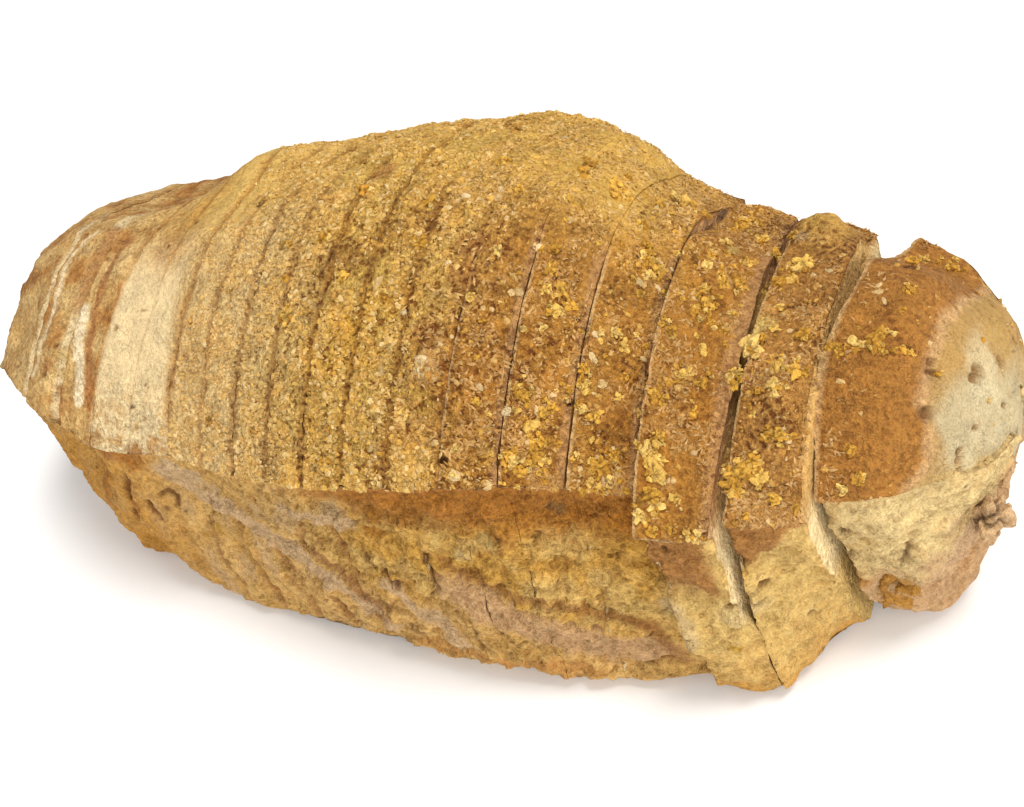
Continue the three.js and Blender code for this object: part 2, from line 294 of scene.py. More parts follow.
def wall_point(x, t, side, trim):
    """Y and z of the front (side -1) or back wall at x, with t from 0 at the lip to 1 at the foot."""
    front = side < 0
    lip_width = curve("front" if front else "back", x)
    foot_width = curve("footFront" if front else "footBack", x) - (trim if front else 0)
    lip = curve("lip", x)
    under = np.maximum(curve("under", x), 0)
    recess = LIP_UNDERCUT * np.minimum(t / 0.05, 1) * np.maximum(1 - t / 0.45, 0)
    bulge = FOOT_BULGE * np.sin(np.pi * np.clip((t - 0.35) / 0.6, 0, 1))
    rounding = FOOT_ROUND * np.clip((t - 0.93) / 0.07, 0, 1) ** 2
    depth = np.where((x > TORN_FROM) & front, TORN_RELIEF, FOOT_RELIEF)
    rough = depth * bumps(x * 1.6, side * t * 0.5) * np.sin(np.pi * np.clip(t * 1.05, 0, 1))
    width = lip_width + (foot_width - lip_width) * t ** 1.5 - recess + bulge - rounding + rough
    return side * width, lip + (under - lip) * t


CUTS = (*(SLICE * np.arange(1, LAST_THIN + 1)), LAST_THIN * SLICE + SLICE_16,
        LAST_THIN * SLICE + SLICE_16 + SLICE_17)  # the middle of each saw cut


def slice_range(n):
    """Where slice n starts and ends along the loaf."""
    start = LOAF_START if n == 1 else HEEL_START if n == SLICES else CUTS[n - 2] + KERF / 2
    return start, LOAF_END if n == SLICES else CUTS[n - 1] - KERF / 2


def foot_growth(n, z):
    """How much longer slice n is at height z than at its crown, as a share of its length."""
    start, end = slice_range(n)
    return FOOT_SPREAD.get(n, 0.0) * np.maximum(1 - z / SPREAD_TOP, 0) / (end - start)


def stance(n):
    """Start and middle of slice n, its shifts and lean, and the cosine and sine of its turn."""
    dx, dy, lean, turn = STANCE.get(n, UPRIGHT)
    start, end = slice_range(n)
    return start, (start + end) / 2, dx, dy, lean, np.cos(np.radians(turn)), np.sin(np.radians(turn))


def stand(n, p):
    """Moves loaf points, an array of (..., 3), to where slice n stands."""
    start, pivot, dx, dy, lean, c, s = stance(n)
    x, y, z = np.moveaxis(p, -1, 0)
    along = x + foot_growth(n, z) * (x - start) - pivot
    return np.stack([pivot + c * along - s * y + dx - lean * z, s * along + c * y + dy, z], -1)


def unstand(n, p):
    """Takes a point on slice n back to where it was before the slice was moved."""
    start, pivot, dx, dy, lean, c, s = stance(n)
    x = p[0] - pivot - dx + lean * p[2]
    y = p[1] - dy
    along = pivot + c * x + s * y - start
    return np.array([start + along / (1 + foot_growth(n, p[2])), c * y - s * x, p[2]])


# ---- the ring of points round a section ----
CROWN, BACK, UNDER, FRONT = range(4)
STEPS = (
    np.concatenate([np.linspace(0, 0.62, 210, endpoint=False), np.linspace(0.62, 1, 66)]),
    np.linspace(0, 1, 43)[1:],
    np.linspace(0, 1, 14)[1:-1],
    np.linspace(1, 0, 104, endpoint=False),
)  # from front to back over the crown, down the back, to the front underneath and up again
RING_STEP = np.concatenate(STEPS)
RING_ZONE = np.repeat([CROWN, BACK, UNDER, FRONT], [len(steps) for steps in STEPS])
ON_CROWN, ON_FRONT, ON_UNDER = RING_ZONE == CROWN, RING_ZONE == FRONT, RING_ZONE == UNDER


def section_grid(n, xs):
    """Points of slice n before it is moved, one ring for each x."""
    start, end = slice_range(n)
    x = xs[:, None] + 0 * RING_STEP
    step = RING_STEP + 0 * x
    left, right = FOOT_TRIM.get(n, (0.0, 0.0))
    trim = left + (right - left) * (x - start) / (end - start)
    (back, z), (front, _) = (wall_point(x, 1 + 0 * x, side, trim) for side in (1, -1))
    under = (back + (front - back) * step, z)
    zones = (dome_point(x, step), wall_point(x, step, 1, trim), under, wall_point(x, step, -1, trim))
    y, z = (np.choose(RING_ZONE, values) for values in zip(*zones))
    return np.stack([x, y, z], -1)


EDGE = np.array([0, 0.12, 0.3, 0.55, 0.9])  # distances of the first rings from a saw cut
STEP = 0.65  # between the other rings
LEFT_TIP_RINGS, RIGHT_TIP_RINGS = 48, 42


def x_samples(n):
    """Where slice n's rings stand along x: closer together at its edges and towards a heel's tip."""
    start, end = slice_range(n)
    if n == 1:
        tip = start + (end - EDGE[-1] - start) * (1 - np.cos(np.linspace(0, np.pi / 2, LEFT_TIP_RINGS)))
        return np.concatenate([tip, end - EDGE[-2::-1]])
    if n == SLICES:
        tip = end - (end - start - EDGE[-1]) * (1 - np.cos(np.linspace(np.pi / 2, 0, RIGHT_TIP_RINGS)))
        return np.concatenate([start + EDGE[:-1], tip])
    middle = np.linspace(start + EDGE[-1], end - EDGE[-1], round((end - start - 2 * EDGE[-1]) / STEP) + 1)
    return np.concatenate([start + EDGE[:-1], middle, end - EDGE[-2::-1]])


def normals_of(grid):
    """Outward normals of a grid of rings."""
    around = np.roll(grid, -1, axis=1) - np.roll(grid, 1, axis=1)
    normal = np.cross(np.gradient(grid, axis=0), around)
    return normal / np.maximum(np.linalg.norm(normal, axis=-1, keepdims=True), 1e-9)


# ---- marks: places are across and down the picture in pixels, sizes in millimetres ----
# pits are darkened with painted shade in their hollows
PITS = (  # radius and depth, then the places of the pits of that size
    (1.9, 2, (864, 263)), (1.9, 1.5, (926, 413)), (1.8, 1.8, (763, 583)), (1.7, 2, (844, 528)),
    (1.7, 1.1, (262, 203)), (1.6, 1, (95, 479)), (1.5, 1.4, (442, 463)), (1.5, 0.9, (290, 557)),
    (1.4, 0.8, (43, 373)), (1.3, 1.6, (847, 551)), (1.2, 1.2, (929, 362)), (1.1, 1.1, (930, 372)),
    (1, 1.2, (762, 600)), (1, 0.9, (261, 273)), (0.9, 1.2, (570, 404)), (0.9, 0.9, (348, 483)),
    (0.9, 0.7, (433, 591)), (0.9, 0.5, (196, 222)), (0.8, 0.9, (595, 624)), (0.5, 0.5, (993, 310)),
    (1, 1, (606, 615), (499, 537)),
    (0.9, 0.8, (230, 516), (347, 555), (419, 605), (105, 257)),
    (0.8, 0.8, (665, 548), (618, 559), (813, 618), (972, 291), (251, 520), (450, 561), (700, 296)),
    (0.8, 0.7, (595, 518), (989, 298), (1010, 344), (187, 510), (327, 574), (445, 635), (471, 584)),
    (0.8, 0.6, (68, 333), (168, 246)),
    (0.7, 0.6, (758, 215), (731, 635), (854, 603), (56, 346), (87, 319), (132, 407), (240, 486)),
    (0.7, 0.5, (220, 572), (145, 385)),
    (0.6, 0.6, (840, 620), (957, 481), (643, 211)),
)
DENTS = (  # the same for shallow hollows with hardly any shade of their own
    (1.9, 1.5, (1000, 362)), (1.6, 1.5, (977, 371)), (1.6, 0.6, (560, 511)), (1.5, 1.4, (973, 378)),
    (1.4, 0.6, (550, 507)), (1.2, 1.4, (958, 452), (958, 461)), (1.2, 0.4, (640, 255)),
    (1.2, -0.7, (168, 507)), (1, 1.2, (959, 470)), (0.9, 0.8, (973, 427), (1003, 405)),
)
# grooves are darkened with painted shade in their creases
GROOVES = (  # radius and depth, then the places that each one runs through
    (0.9, 0.8, (91, 448), (92, 462), (95, 480)),
    (1.5, 1, (127, 478), (129, 500), (136, 522)),
    (0.9, 0.9, (146, 501), (155, 511), (164, 520)),
    (1, 0.9, (160, 495), (168, 491), (176, 498), (178, 509)),
    (0.7, 0.6, (210, 497), (213, 517)),
    (0.6, 0.7, (353, 567), (372, 588), (395, 617)),
    (0.7, 0.8, (366, 552), (378, 567)),
    (1, 1, (386, 570), (391, 580), (399, 588)),
    (0.9, 0.6, (425, 558), (432, 572), (441, 588)),
    (0.6, 0.5, (456, 607), (470, 624), (487, 645)),
    (0.8, 0.9, (651, 661), (660, 656), (671, 655), (681, 660)),
    (0.5, 0.5, (645, 630), (655, 629)),
    (0.6, 0.5, (500, 634), (518, 640), (530, 637)),
    (0.6, 0.7, (725, 609), (741, 605), (757, 602)),
    (0.6, 1.1, (733, 545), (741, 560), (744, 575)),
    (0.8, 1.3, (911, 531), (909, 547), (904, 562)),
    (0.5, 0.6, (785, 309), (797, 307), (810, 304), (822, 305)),
    (0.6, 0.6, (776, 275), (790, 283), (806, 284)),
    (0.5, 0.5, (695, 262), (712, 300), (725, 309)),
    (0.7, 0.6, (320, 278), (326, 262), (332, 248)),
    (0.5, 0.5, (884, 300), (900, 345), (917, 355)),
)
BANDS = (  # radius, colour and strength, then the places that each band of colour runs through
    (3.8, (216, 178, 130), 0.85, (162, 470), (214, 500), (270, 537), (321, 570), (363, 603), (396, 626)),
    (3, (218, 180, 130), 0.85, (284, 509), (321, 519), (349, 523)),
    (3, (214, 176, 128), 0.7, (387, 584), (433, 617), (471, 645)),
    (2.6, (220, 184, 136), 0.6, (165, 462), (185, 472), (205, 484)),
    (2.2, (186, 124, 56), 0.7, (92, 458), (100, 490), (118, 522)),
    (1.6, (176, 124, 72), 0.6, (318, 548), (352, 580), (392, 622)),
    (3, (210, 152, 80), 0.6, (420, 640), (520, 662), (600, 664)),
    (2.4, (222, 188, 130), 0.8, (668, 600), (684, 622), (692, 646)),
    (6, (206, 162, 112), 0.38, (450, 585), (520, 618), (590, 640), (655, 645)),
    (1.8, (160, 106, 50), 0.4, (440, 560), (500, 590), (580, 606), (650, 622), (690, 662)),
    (1.6, (188, 136, 76), 0.8, (60, 410), (63, 370), (76, 310), (92, 260), (112, 226)),
    (1.9, (248, 224, 180), 1, (79, 402), (79, 350), (82, 322), (87, 304)),
    # painted shade along the third slice's edge beside the second cut
    (1.4, (176, 120, 66), 0.8, (89, 406), (89, 350), (97, 305), (107, 275), (119, 252), (133, 236)),
    (1.2, (244, 218, 170), 0.9, (31, 375), (44, 335), (57, 294), (70, 259), (84, 242), (100, 230)),
)
BAND_GAP, GROOVE_GAP = 4, 2  # pixels between the marks that make up a band or a groove
PATCHES = (  # across, down, radius, colour and strength
    (375, 510, 3.2, (176, 116, 38), 0.9), (375, 527, 3.4, (184, 124, 42), 0.9),
    (219, 531, 3, (200, 148, 52), 0.7), (207, 534, 2, (186, 132, 48), 0.6),
    # painted shade under the lip: both patches of this line
    (110, 454, 3, (176, 122, 64), 0.8), (135, 453, 3, (176, 120, 60), 0.8),
    (185, 478, 4, (206, 172, 126), 0.8), (215, 497, 4.5, (204, 168, 120), 0.8),
    (255, 510, 4.5, (200, 164, 116), 0.7), (285, 520, 4.5, (200, 164, 114), 0.7),
    (330, 512, 4.5, (206, 172, 124), 0.8), (350, 520, 3, (208, 174, 126), 0.8),
    (440, 617, 2.2, (224, 190, 142), 0.8), (463, 554, 2.6, (222, 190, 124), 0.8),
    (487, 540, 3.2, (222, 186, 110), 0.8), (425, 540, 3.5, (208, 164, 90), 0.6),
    (135, 505, 3.2, (172, 112, 44), 0.8), (160, 540, 4, (176, 118, 46), 0.7),
    (200, 560, 5, (186, 134, 62), 0.6), (620, 590, 3.5, (222, 184, 108), 0.8),
    (640, 605, 3.5, (220, 180, 102), 0.8), (600, 575, 3, (218, 180, 108), 0.6),
    (736, 647, 2, (220, 168, 52), 0.7), (744, 572, 1.6, (220, 168, 60), 0.6),
    (765, 322, 2.8, (224, 188, 104), 0.9), (757, 335, 2.2, (228, 194, 110), 0.8),
    (728, 288, 2.2, (216, 172, 92), 0.7), (735, 258, 2.4, (214, 176, 100), 0.7),
    (425, 369, 3, (232, 204, 146), 0.9), (408, 395, 4.2, (226, 182, 84), 0.7),
    (418, 408, 3.6, (222, 176, 78), 0.6), (427, 330, 3.4, (180, 122, 60), 0.7),
    (385, 170, 4.5, (188, 132, 68), 0.8), (470, 245, 4.5, (182, 124, 60), 0.8),
    (462, 275, 4, (180, 122, 58), 0.7), (505, 250, 3, (184, 128, 62), 0.6),
    (590, 345, 2.5, (176, 120, 56), 0.6), (64, 358, 3, (204, 166, 98), 0.8),
    (66, 372, 2.6, (202, 162, 92), 0.7), (107, 216, 2.6, (160, 104, 48), 0.7),
    (86, 237, 1.8, (150, 96, 42), 0.7), (125, 241, 2, (158, 102, 50), 0.7),
    (71, 257, 1.6, (160, 106, 52), 0.7), (48, 365, 3, (172, 116, 60), 0.7),
    (37, 300, 3, (176, 120, 60), 0.5), (171, 403, 1.2, (178, 118, 60), 0.8),
    (172, 385, 1.2, (178, 118, 60), 0.8), (185, 357, 1.8, (176, 122, 70), 0.7),
    (226, 450, 1, (170, 112, 50), 0.7), (240, 450, 1.8, (226, 194, 138), 0.8),
    (242, 468, 1.8, (224, 190, 136), 0.7), (215, 460, 2.2, (220, 182, 122), 0.7),
    (188, 400, 2, (224, 186, 116), 0.6), (893, 596, 3.6, (184, 128, 38), 0.9),
    (904, 582, 2.6, (196, 142, 56), 0.8), (950, 562, 6.5, (212, 172, 128), 0.9),
    (935, 590, 5, (206, 162, 114), 0.9), (968, 535, 5.5, (208, 170, 128), 0.9),
    (928, 562, 3.6, (204, 164, 116), 0.8), (950, 520, 3.6, (206, 168, 122), 0.7),
    # painted shadow beside the last slice's foot: the first patch of this line
    (862, 580, 3.4, (176, 120, 50), 0.8), (905, 600, 2.2, (180, 126, 40), 0.8),
    (803, 246, 2, (196, 158, 110), 0.7), (724, 216, 4, (186, 146, 100), 0.8),
    (640, 345, 1.6, (182, 126, 60), 0.4), (486, 455, 2.6, (220, 170, 72), 0.7),
)
BARE = (  # across, down, radius: hardly any meal
    (385, 170, 4.5), (470, 245, 5), (462, 275, 4.5), (427, 330, 3.4), (505, 250, 3), (590, 345, 3),
    (700, 500, 3), (815, 235, 5),
)
THICK = (  # across, down, radius: more meal and corn than about it
    (650, 265, 3.4), (525, 460, 5), (525, 400, 3), (530, 430, 3), (718, 268, 5), (735, 285, 4),
    (705, 300, 3), (741, 376, 3.4), (778, 367, 2.4), (668, 375, 3), (690, 390, 3), (650, 200, 5),
    (690, 208, 5), (756, 226, 4.5), (655, 480, 3), (790, 272, 3.5), (735, 470, 3), (585, 380, 3.5),
    (600, 300, 5), (620, 250, 5),
)


def tube_faces(rows, count):
    """Quads between neighbouring rings of points that are numbered ring after ring."""
    quads = []
    for a in range(0, (rows - 1) * count, count):
        b = a + count
        quads += [(a + j, b + j, b + (j + 1) % count, a + (j + 1) % count) for j in range(count)]
    return quads


def fan(ring, hub, count):
    """Triangles between a ring of points and the point in its middle."""
    return [(ring + j, ring + (j + 1) % count, hub) for j in range(count)]


def coarse_body(n):
    """A light copy of slice n's base shape, with a fan over each end."""
    xs = x_samples(n)
    grid = stand(n, section_grid(n, np.unique(np.append(xs[::3], xs[-1])))[:, ::4])
    rows, count = grid.shape[:2]
    total = rows * count
    faces = tube_faces(rows, count) + fan(0, total, count) + fan(total - count, total + 1, count)
    return np.concatenate([grid.reshape(-1, 3), grid[[0, -1]].mean(axis=1)]), faces


def tree_of(bodies):
    """A search tree over several bodies, and the slice number of each of its faces."""
    points, faces, owners = [], [], []
    total = 0
    for n, (body_points, body_faces) in enumerate(bodies, 1):
        points += body_points.tolist()
        faces += [[total + i for i in face] for face in body_faces]
        owners += [n] * len(body_faces)
        total += len(body_points)
    return BVHTree.FromPolygons(points, faces), owners


def seen_at(across, down, body):
    """Slice, point and outward normal that the camera sees at a place in the picture."""
    tree, owners = body
    aside = CAMERA_RIGHT * (across - IMAGE_WIDTH / 2) - CAMERA_UP * (down - IMAGE_HEIGHT / 2)
    ray = (aside / FOCAL_PIXELS - CAMERA_BACK).normalized()
    point, normal, face, _ = tree.ray_cast(CAMERA_AT, ray)
    if point is None:
        return None
    if normal.dot(ray) > 0:
        normal = -normal
    return owners[face], np.array(point), np.array(normal)


base_bodies = tree_of([coarse_body(number) for number in range(1, SLICES + 1)])


def located(across, down):
    """Slice and point, in that slice's own loaf coordinates, at a place in the picture."""
    seen = seen_at(across, down, base_bodies)
    return seen and (seen[0], unstand(seen[0], seen[1]))


def spotted(entries):
    """Entries that begin with a place in the picture, with the slice and the point there instead."""
    return [(*spot, *rest) for x, y, *rest in entries if (spot := located(x, y))]


def along_line(places, gap):
    """Places a few pixels apart along a broken line."""
    for (x0, y0), (x1, y1) in zip(places, places[1:]):
        steps = max(1, round(np.hypot(x1 - x0, y1 - y0) / gap))
        for step in range(steps):
            yield x0 + (x1 - x0) * step / steps, y0 + (y1 - y0) * step / steps


def read_marks():
    """All marks as slice, point, radius, depth, colour and strength."""
    wanted = []
    # pits and dents are coloured with painted shade
    for table, color, strength in ((PITS, PIT_SHADE, 0.85), (DENTS, DENT_SHADE, 0.95)):
        for radius, depth, *places in table:
            wanted += [(x, y, radius, depth, color, strength) for x, y in places]
    wanted += [(x, y, radius, 0.0, color, strength) for x, y, radius, color, strength in PATCHES]
    for radius, color, strength, *places in BANDS:
        wanted += [(x, y, radius, 0.0, color, strength) for x, y in along_line(places, BAND_GAP)]
    for radius, depth, *places in GROOVES:
        # grooves take painted shade in their creases
        wanted += [(x, y, radius, depth, CRUST_DARK_AND_SHADE, 0.6) for x, y in along_line(places, GROOVE_GAP)]
    return spotted(wanted)


MARKS = read_marks()
BARE_SPOTS = spotted(BARE)
THICK_SPOTS = spotted(THICK)


def shares(n, owner):
    """Slices up to the last thin one stand close enough to share a mark."""
    return n == owner or max(n, owner) <= LAST_THIN


def spot_weight(n, p, spots):
    """1 inside the spots of slice n, 0 away from them."""
    weight = np.zeros(p.shape[:-1])
    for owner, place, radius in spots:
        if shares(n, owner):
            away = np.linalg.norm(p - place, axis=-1) / radius
            weight = np.maximum(weight, ramp(away, 1.2, 0.6))
    return weight


def mark(n, p, color):
    """Colours with slice n's marks on them, and the depth of the marks."""
    depth_there = np.zeros(p.shape[:-1])
    wobble = 1 + 0.32 * layered(p, 2.6, 121)
    for owner, place, radius, depth, mark_color, strength in MARKS:
        near = abs(p[..., 0] - place[0]).min() < radius * 1.5
        if not shares(n, owner) or not near:
            continue
        weight = ramp(np.linalg.norm(p - place, axis=-1) / radius * wobble, 1.0, 0.4)
        if depth:
            sign = np.sign(depth)
            depth_there = sign * np.maximum(sign * depth_there, abs(depth) * weight)
        color = tint(color, mark_color, strength * weight)
    return color, depth_there


# ---- how the crust changes along the loaf ----
def meal_density(x, across):
    """How thickly cornmeal lies on the crown."""
    along = ramp(x, 50, 76) * (1 - 0.88 * ramp(x, 122, 138)) * (1 - 0.5 * ramp(x, 152, 168))
    return along * (1 - 0.85 * ramp(x, 196, 206)) * ramp(across, -0.2, 0.06)


def pale_patch(p, across):
    """1 on the bare pale skin of slices 4 and 5."""
    x = p[..., 0]
    wander = 0.04 * noise(p, 9, 31)
    along = ramp(x, 32.4, 33.2) * (1 - ramp(x + 14 * across, 54.6, 58.5))
    return along * (1 - ramp(across + wander, 0.34, 0.52))


PALE_EDGE = ((969, 289), (943, 309), (929, 343), (919, 383), (913, 402), (925, 427), (920, 456),
             (906, 491))  # where the last slice's brown crust ends, read off the picture
pale_edge = sorted(tuple(located(across, down)[1][[1, 0]]) for across, down in PALE_EDGE)


def past_pale_edge(p):
    """How far a point of the last slice lies beyond its brown crust."""
    y, x = np.array(pale_edge).T
    return p[..., 0] - np.interp(p[..., 1], y, x) + 0.9 * layered(p, 4, 57)


def crown_color(n, p, across):
    """Colour of the crown, and how gritty it is from 0 to 1."""
    x = p[..., 0]
    meal = meal_density(x, across)
    broad, patchy, gritty = layered(p, 16, 3), layered(p, 6, 11), layered(p, 1.9, 65)
    left = 1 - ramp(x, 34, 52)
    bare = ramp(x, 122, 136)
    high = ramp(across, 0.40, 0.58) * ramp(x, 20, 60) * ramp(x, 172, 150)
    skin = pale_patch(p, across)
    porous = skin * ramp(across, 0.26, 0.08)
    grit = (0.4 + 0.6 * ramp(x, 60, 96)) * (1 - skin) * (1 - 0.5 * high)
    color = painted(
        linear(CRUST_BROWN_AND_SHADE),
        (CRUST_GOLD, np.minimum(meal * 1.4, 1) * ramp(broad, -0.6, 0.15) * 0.9),
        (MUSTARD, 0.75 * ramp(layered(p, 9, 13), 0.16, 0.45) * ramp(x, 76, 96) * meal),
        (MEAL_SAND_AND_HIGHLIGHT, ramp(x, 108, 70) * ramp(x, 40, 55) * 0.9),
        (LEFT_TAN, left),
        (LEFT_BROWN, 0.85 * ramp(patchy, -0.02, 0.4) * left),
        (CRUST_DARK_AND_SHADE, 0.4 * ramp(patchy, 0.3, 0.7) * left),
        (MEAL_SAND_AND_HIGHLIGHT, 0.6 * ramp(-patchy, 0, 0.5) * left),
        (CRUST_DARK_AND_SHADE, 0.1 * ramp(broad, 0.2, 0.8) * ramp(x, 60, 110)),
        (CRUST_TAN, 0.24 * ramp(x, 173, 183) + 0.16 * ramp(x, 114, 122) * ramp(x, 138, 128)),
        (CRUST_GOLD, 0.75 * high),
        # painted shade in the hollows of the fine relief, and painted highlights on its crags
        (CRUST_DARK_AND_SHADE, (0.44 - 0.22 * meal - 0.24 * bare) * ramp(-gritty, 0.05, 0.55) * grit),
        (MEAL_SAND_AND_HIGHLIGHT, (0.42 - 0.24 * bare) * ramp(gritty, 0.15, 0.6) * grit),
        (PALE_SKIN, skin),
        (CRUST_TAN, 0.9 * porous * ramp(layered(p, 2.2, 17), 0, 0.35)),
    )
    worn = ramp(layered(p, 8, 19), 0.3, -0.25) * ramp(x, 132, 150)
    grit = np.maximum(grit * (1 - 0.55 * worn), 0.12 + 0.35 * porous)
    if n == SLICES:
        beyond = past_pale_edge(p)
        halo = 0.8 + 6 * ramp(p[..., 1], -16, 6)
        color = painted(
            color,
            (HEEL_BROWN, 0.85),
            (PALE_RIM, ramp(beyond, -0.7, 0.7)),
            (PALE_YELLOW, ramp(beyond, 0.6, 2.0)),
            (PALE_END, ramp(beyond, halo, halo + 3.5)),
            (HEEL_GOLD, 0.6 * ramp(across, 0.14, 0) * ramp(beyond, 0, 2)),
            (HEEL_GOLD, 0.4 * ramp(layered(p, 8, 183), 0.05, 0.45) * ramp(beyond, 1, 3)),
            (HEEL_FLOUR, 0.6 * ramp(layered(p, 7, 185), 0.05, 0.4) * ramp(beyond, 3, 6)),
        )
        grit = 0.42 - 0.32 * ramp(beyond, -0.5, 2.5)
    return color, grit


def torn_wall_color(n, p, t):
    """Colour and grit of the torn walls of the last three slices."""
    x, mottle = p[..., 0], layered(p, 5, 7)
    heel = n == SLICES
    reach = {16: 0.30, 17: 0.17 * ramp(x, 192, 180) + 0.03, 18: 1.0}[n]
    band = ramp(t - 0.06 * mottle, reach * 1.2, reach * 0.8) * (not heel)
    band = band * ramp(x, 177, 174.5) if n == 16 else band
    return painted(
        linear(LOW_CRUMB if heel else TORN_CRUMB_AND_HIGHLIGHT),
        (LOW_CRUMB, 0.8 * ramp(layered(p, 11, 23), 0, 0.5)),
        (TORN_GOLD, 0.8 * ramp(t + 0.3 * mottle, 0.5, 0.85)),
        (FOOT_ORANGE, 0.6 * ramp(t + 0.15 * mottle, 0.8, 0.98)),
        (LOW_PINK, 0.9 * ramp(t + 0.2 * mottle, 0.4, 0.6) * heel),
        # brown crust with painted shade under the lip
        (TORN_BROWN_AND_LIP_SHADE, 0.95 * band),
        # painted shade along the edges of the flakes
        (TORN_FLAKE_EDGE_SHADE, 0.3 * flakes(p)[1] * (1 - band)),
        (CRUMB_SHADE, 0.3 * ramp(-layered(p, 2.3, 79), 0.3, 0.7)),
    ), 0.25 + 0.1 * band


def wall_color(n, p, t):
    """Colour of the walls, and how gritty they are from 0 to 1."""
    if n > LAST_THIN:
        return torn_wall_color(n, p, t)
    x = p[..., 0]
    broad, mottle, fine = layered(p, 22, 5), layered(p, 5, 7), layered(p, 2.3, 79)
    streak = noise(p * np.array([1.0, 0.3, 0.3]), 7, 15)
    yellow = ramp(x, 84, 112) * ramp(t, 0.08, 0.2) * ramp(t + 0.25 * broad, 0.72, 0.45)
    reach = 0.10 + 0.13 * ramp(x, 95, 150)
    band = ramp(t - 0.07 * layered(p, 7, 21), reach * 1.4, reach * 0.6)
    band = band * (ramp(x, 50, 40) * ramp(x, 28, 33) + ramp(x, 86, 108))
    return painted(
        linear(FOOT_TAN),
        (FOOT_PINK, 0.8 * ramp(broad + 0.7 * streak, -0.5, 0.4) * ramp(x, 25, 50)),
        (FOOT_ORANGE, 0.8 * (1 - ramp(x, 22, 60)) * ramp(broad + 0.5 * mottle, -0.6, 0.3)),
        (FOOT_YELLOW, 0.9 * yellow),
        (TORN_CRUMB_AND_HIGHLIGHT, 0.8 * yellow * ramp(layered(p, 8, 25), -0.1, 0.35)),
        # brown crust with painted shade under the lip's overhang
        (UNDER_LIP_BROWN_AND_SHADE, 0.9 * band),
        # painted shade along the edges of the flakes
        (FLAKE_EDGE_SHADE, 0.5 * flakes(p)[1] * ramp(x, 40, 95) * (1 - 0.3 * band)),
        # painted shade in the hollows of the fine relief, and below it painted highlights on its tops
        (CRUST_DARK_AND_SHADE, 0.3 * ramp(-fine, 0.2, 0.7) * (1 - 0.6 * band)),
        (CRUST_BROWN_AND_SHADE, 0.3 * ramp(-mottle, 0.15, 0.5) * (1 - band)),
        (TORN_CRUMB_AND_HIGHLIGHT, 0.4 * ramp(fine, 0.2, 0.7) * (1 - band)),
    ), 0.3 + 0.12 * yellow + 0.1 * band


FACE_TONES = {(15, 1): FACE_CRUST, (16, 1): CRUMB_KHAKI, (17, 1): CRUMB_KHAKI}


def face_color(n, side, p, rim):
    """Colour of cut crumb: rim is the distance from the crust."""
    z = p[..., 2]
    deep = 0.8 if (n, side) in OPEN_FACES else 2.6
    return painted(
        linear(FACE_TONES.get((n, side), CRUMB_CREAM)),
        (FACE_CRUST, ramp(rim + 1.2 * layered(p, 4, 43), 7, 4) * (n == 16)),
        # crumb in the gaps painted lighter than its own colour, as painted light
        (GAP_CRUMB_PAINTED_LIGHT, ramp(z, 58, 50) * (n in (16, 17))),
        (TORN_CRUMB_AND_HIGHLIGHT, ramp(z, 36, 26) * (n in (16, 17))),
        (CRUMB_SHADE, 0.2 * ramp(layered(p, 5, 41), 0, 0.8)),
        (CRUST_BROWN_AND_SHADE, ramp(rim, deep, deep - 0.6) * ramp(z, 46, 56) * (n > 2)),
    )


# ---- relief ----
def crown_relief(p, across):
    """Height of the crown's crags and meal."""
    meal = meal_density(p[..., 0], across)
    left = 1 - ramp(p[..., 0], 34, 50)
    height = 0.55 * layered(p, 12, 61) + (0.34 + 0.16 * meal) * layered(p, 3.4, 63)
    height = height + (0.3 + 0.42 * meal) * layered(p, 1.9, 65) + left * 0.7 * layered(p, 6, 67)
    return height * (1 - 0.6 * pale_patch(p, across)) + 0.08 * noise(p, 0.9, 69)


def flakes(p):
    """Height of torn flakes, 0 to 2, and 1 along their edges."""
    small, large = layered(p, 2.8, 173), layered(p, 5.0, 175)
    height = ramp(small, -0.05, 0.05) + ramp(large, -0.04, 0.04)
    edges = np.maximum(ramp(np.abs(small + 0.05), 0.09, 0.02), ramp(np.abs(large + 0.04), 0.06, 0.01))
    return height, edges


def wall_relief(p, t):
    """Height of the walls' folds, torn flakes and ragged foot."""
    torn = ramp(p[..., 0], 162, 170)
    body = ramp(t, 0.0, 0.12) * ramp(t, 1.0, 0.9)
    height = (0.9 + 0.5 * torn) * layered(p, 13, 71) + (0.7 + 0.45 * torn) * layered(p, 4.6, 73)
    fold = 1 - np.abs(layered(p * np.array([0.7, 1.0, 1.0]), 13, 75)) * 6
    height = height - 0.9 * np.maximum(fold, 0) * (1 - 0.4 * torn)
    height = height + (0.3 + 0.5 * ramp(p[..., 0], 60, 95) - 0.35 * torn) * flakes(p)[0]
    ragged = 1.5 * layered(p, 15, 77) + 0.7 * layered(p, 5, 177)
    return height * body + 0.5 * layered(p, 2.3, 79) + ragged * ramp(t, 0.74, 0.95)


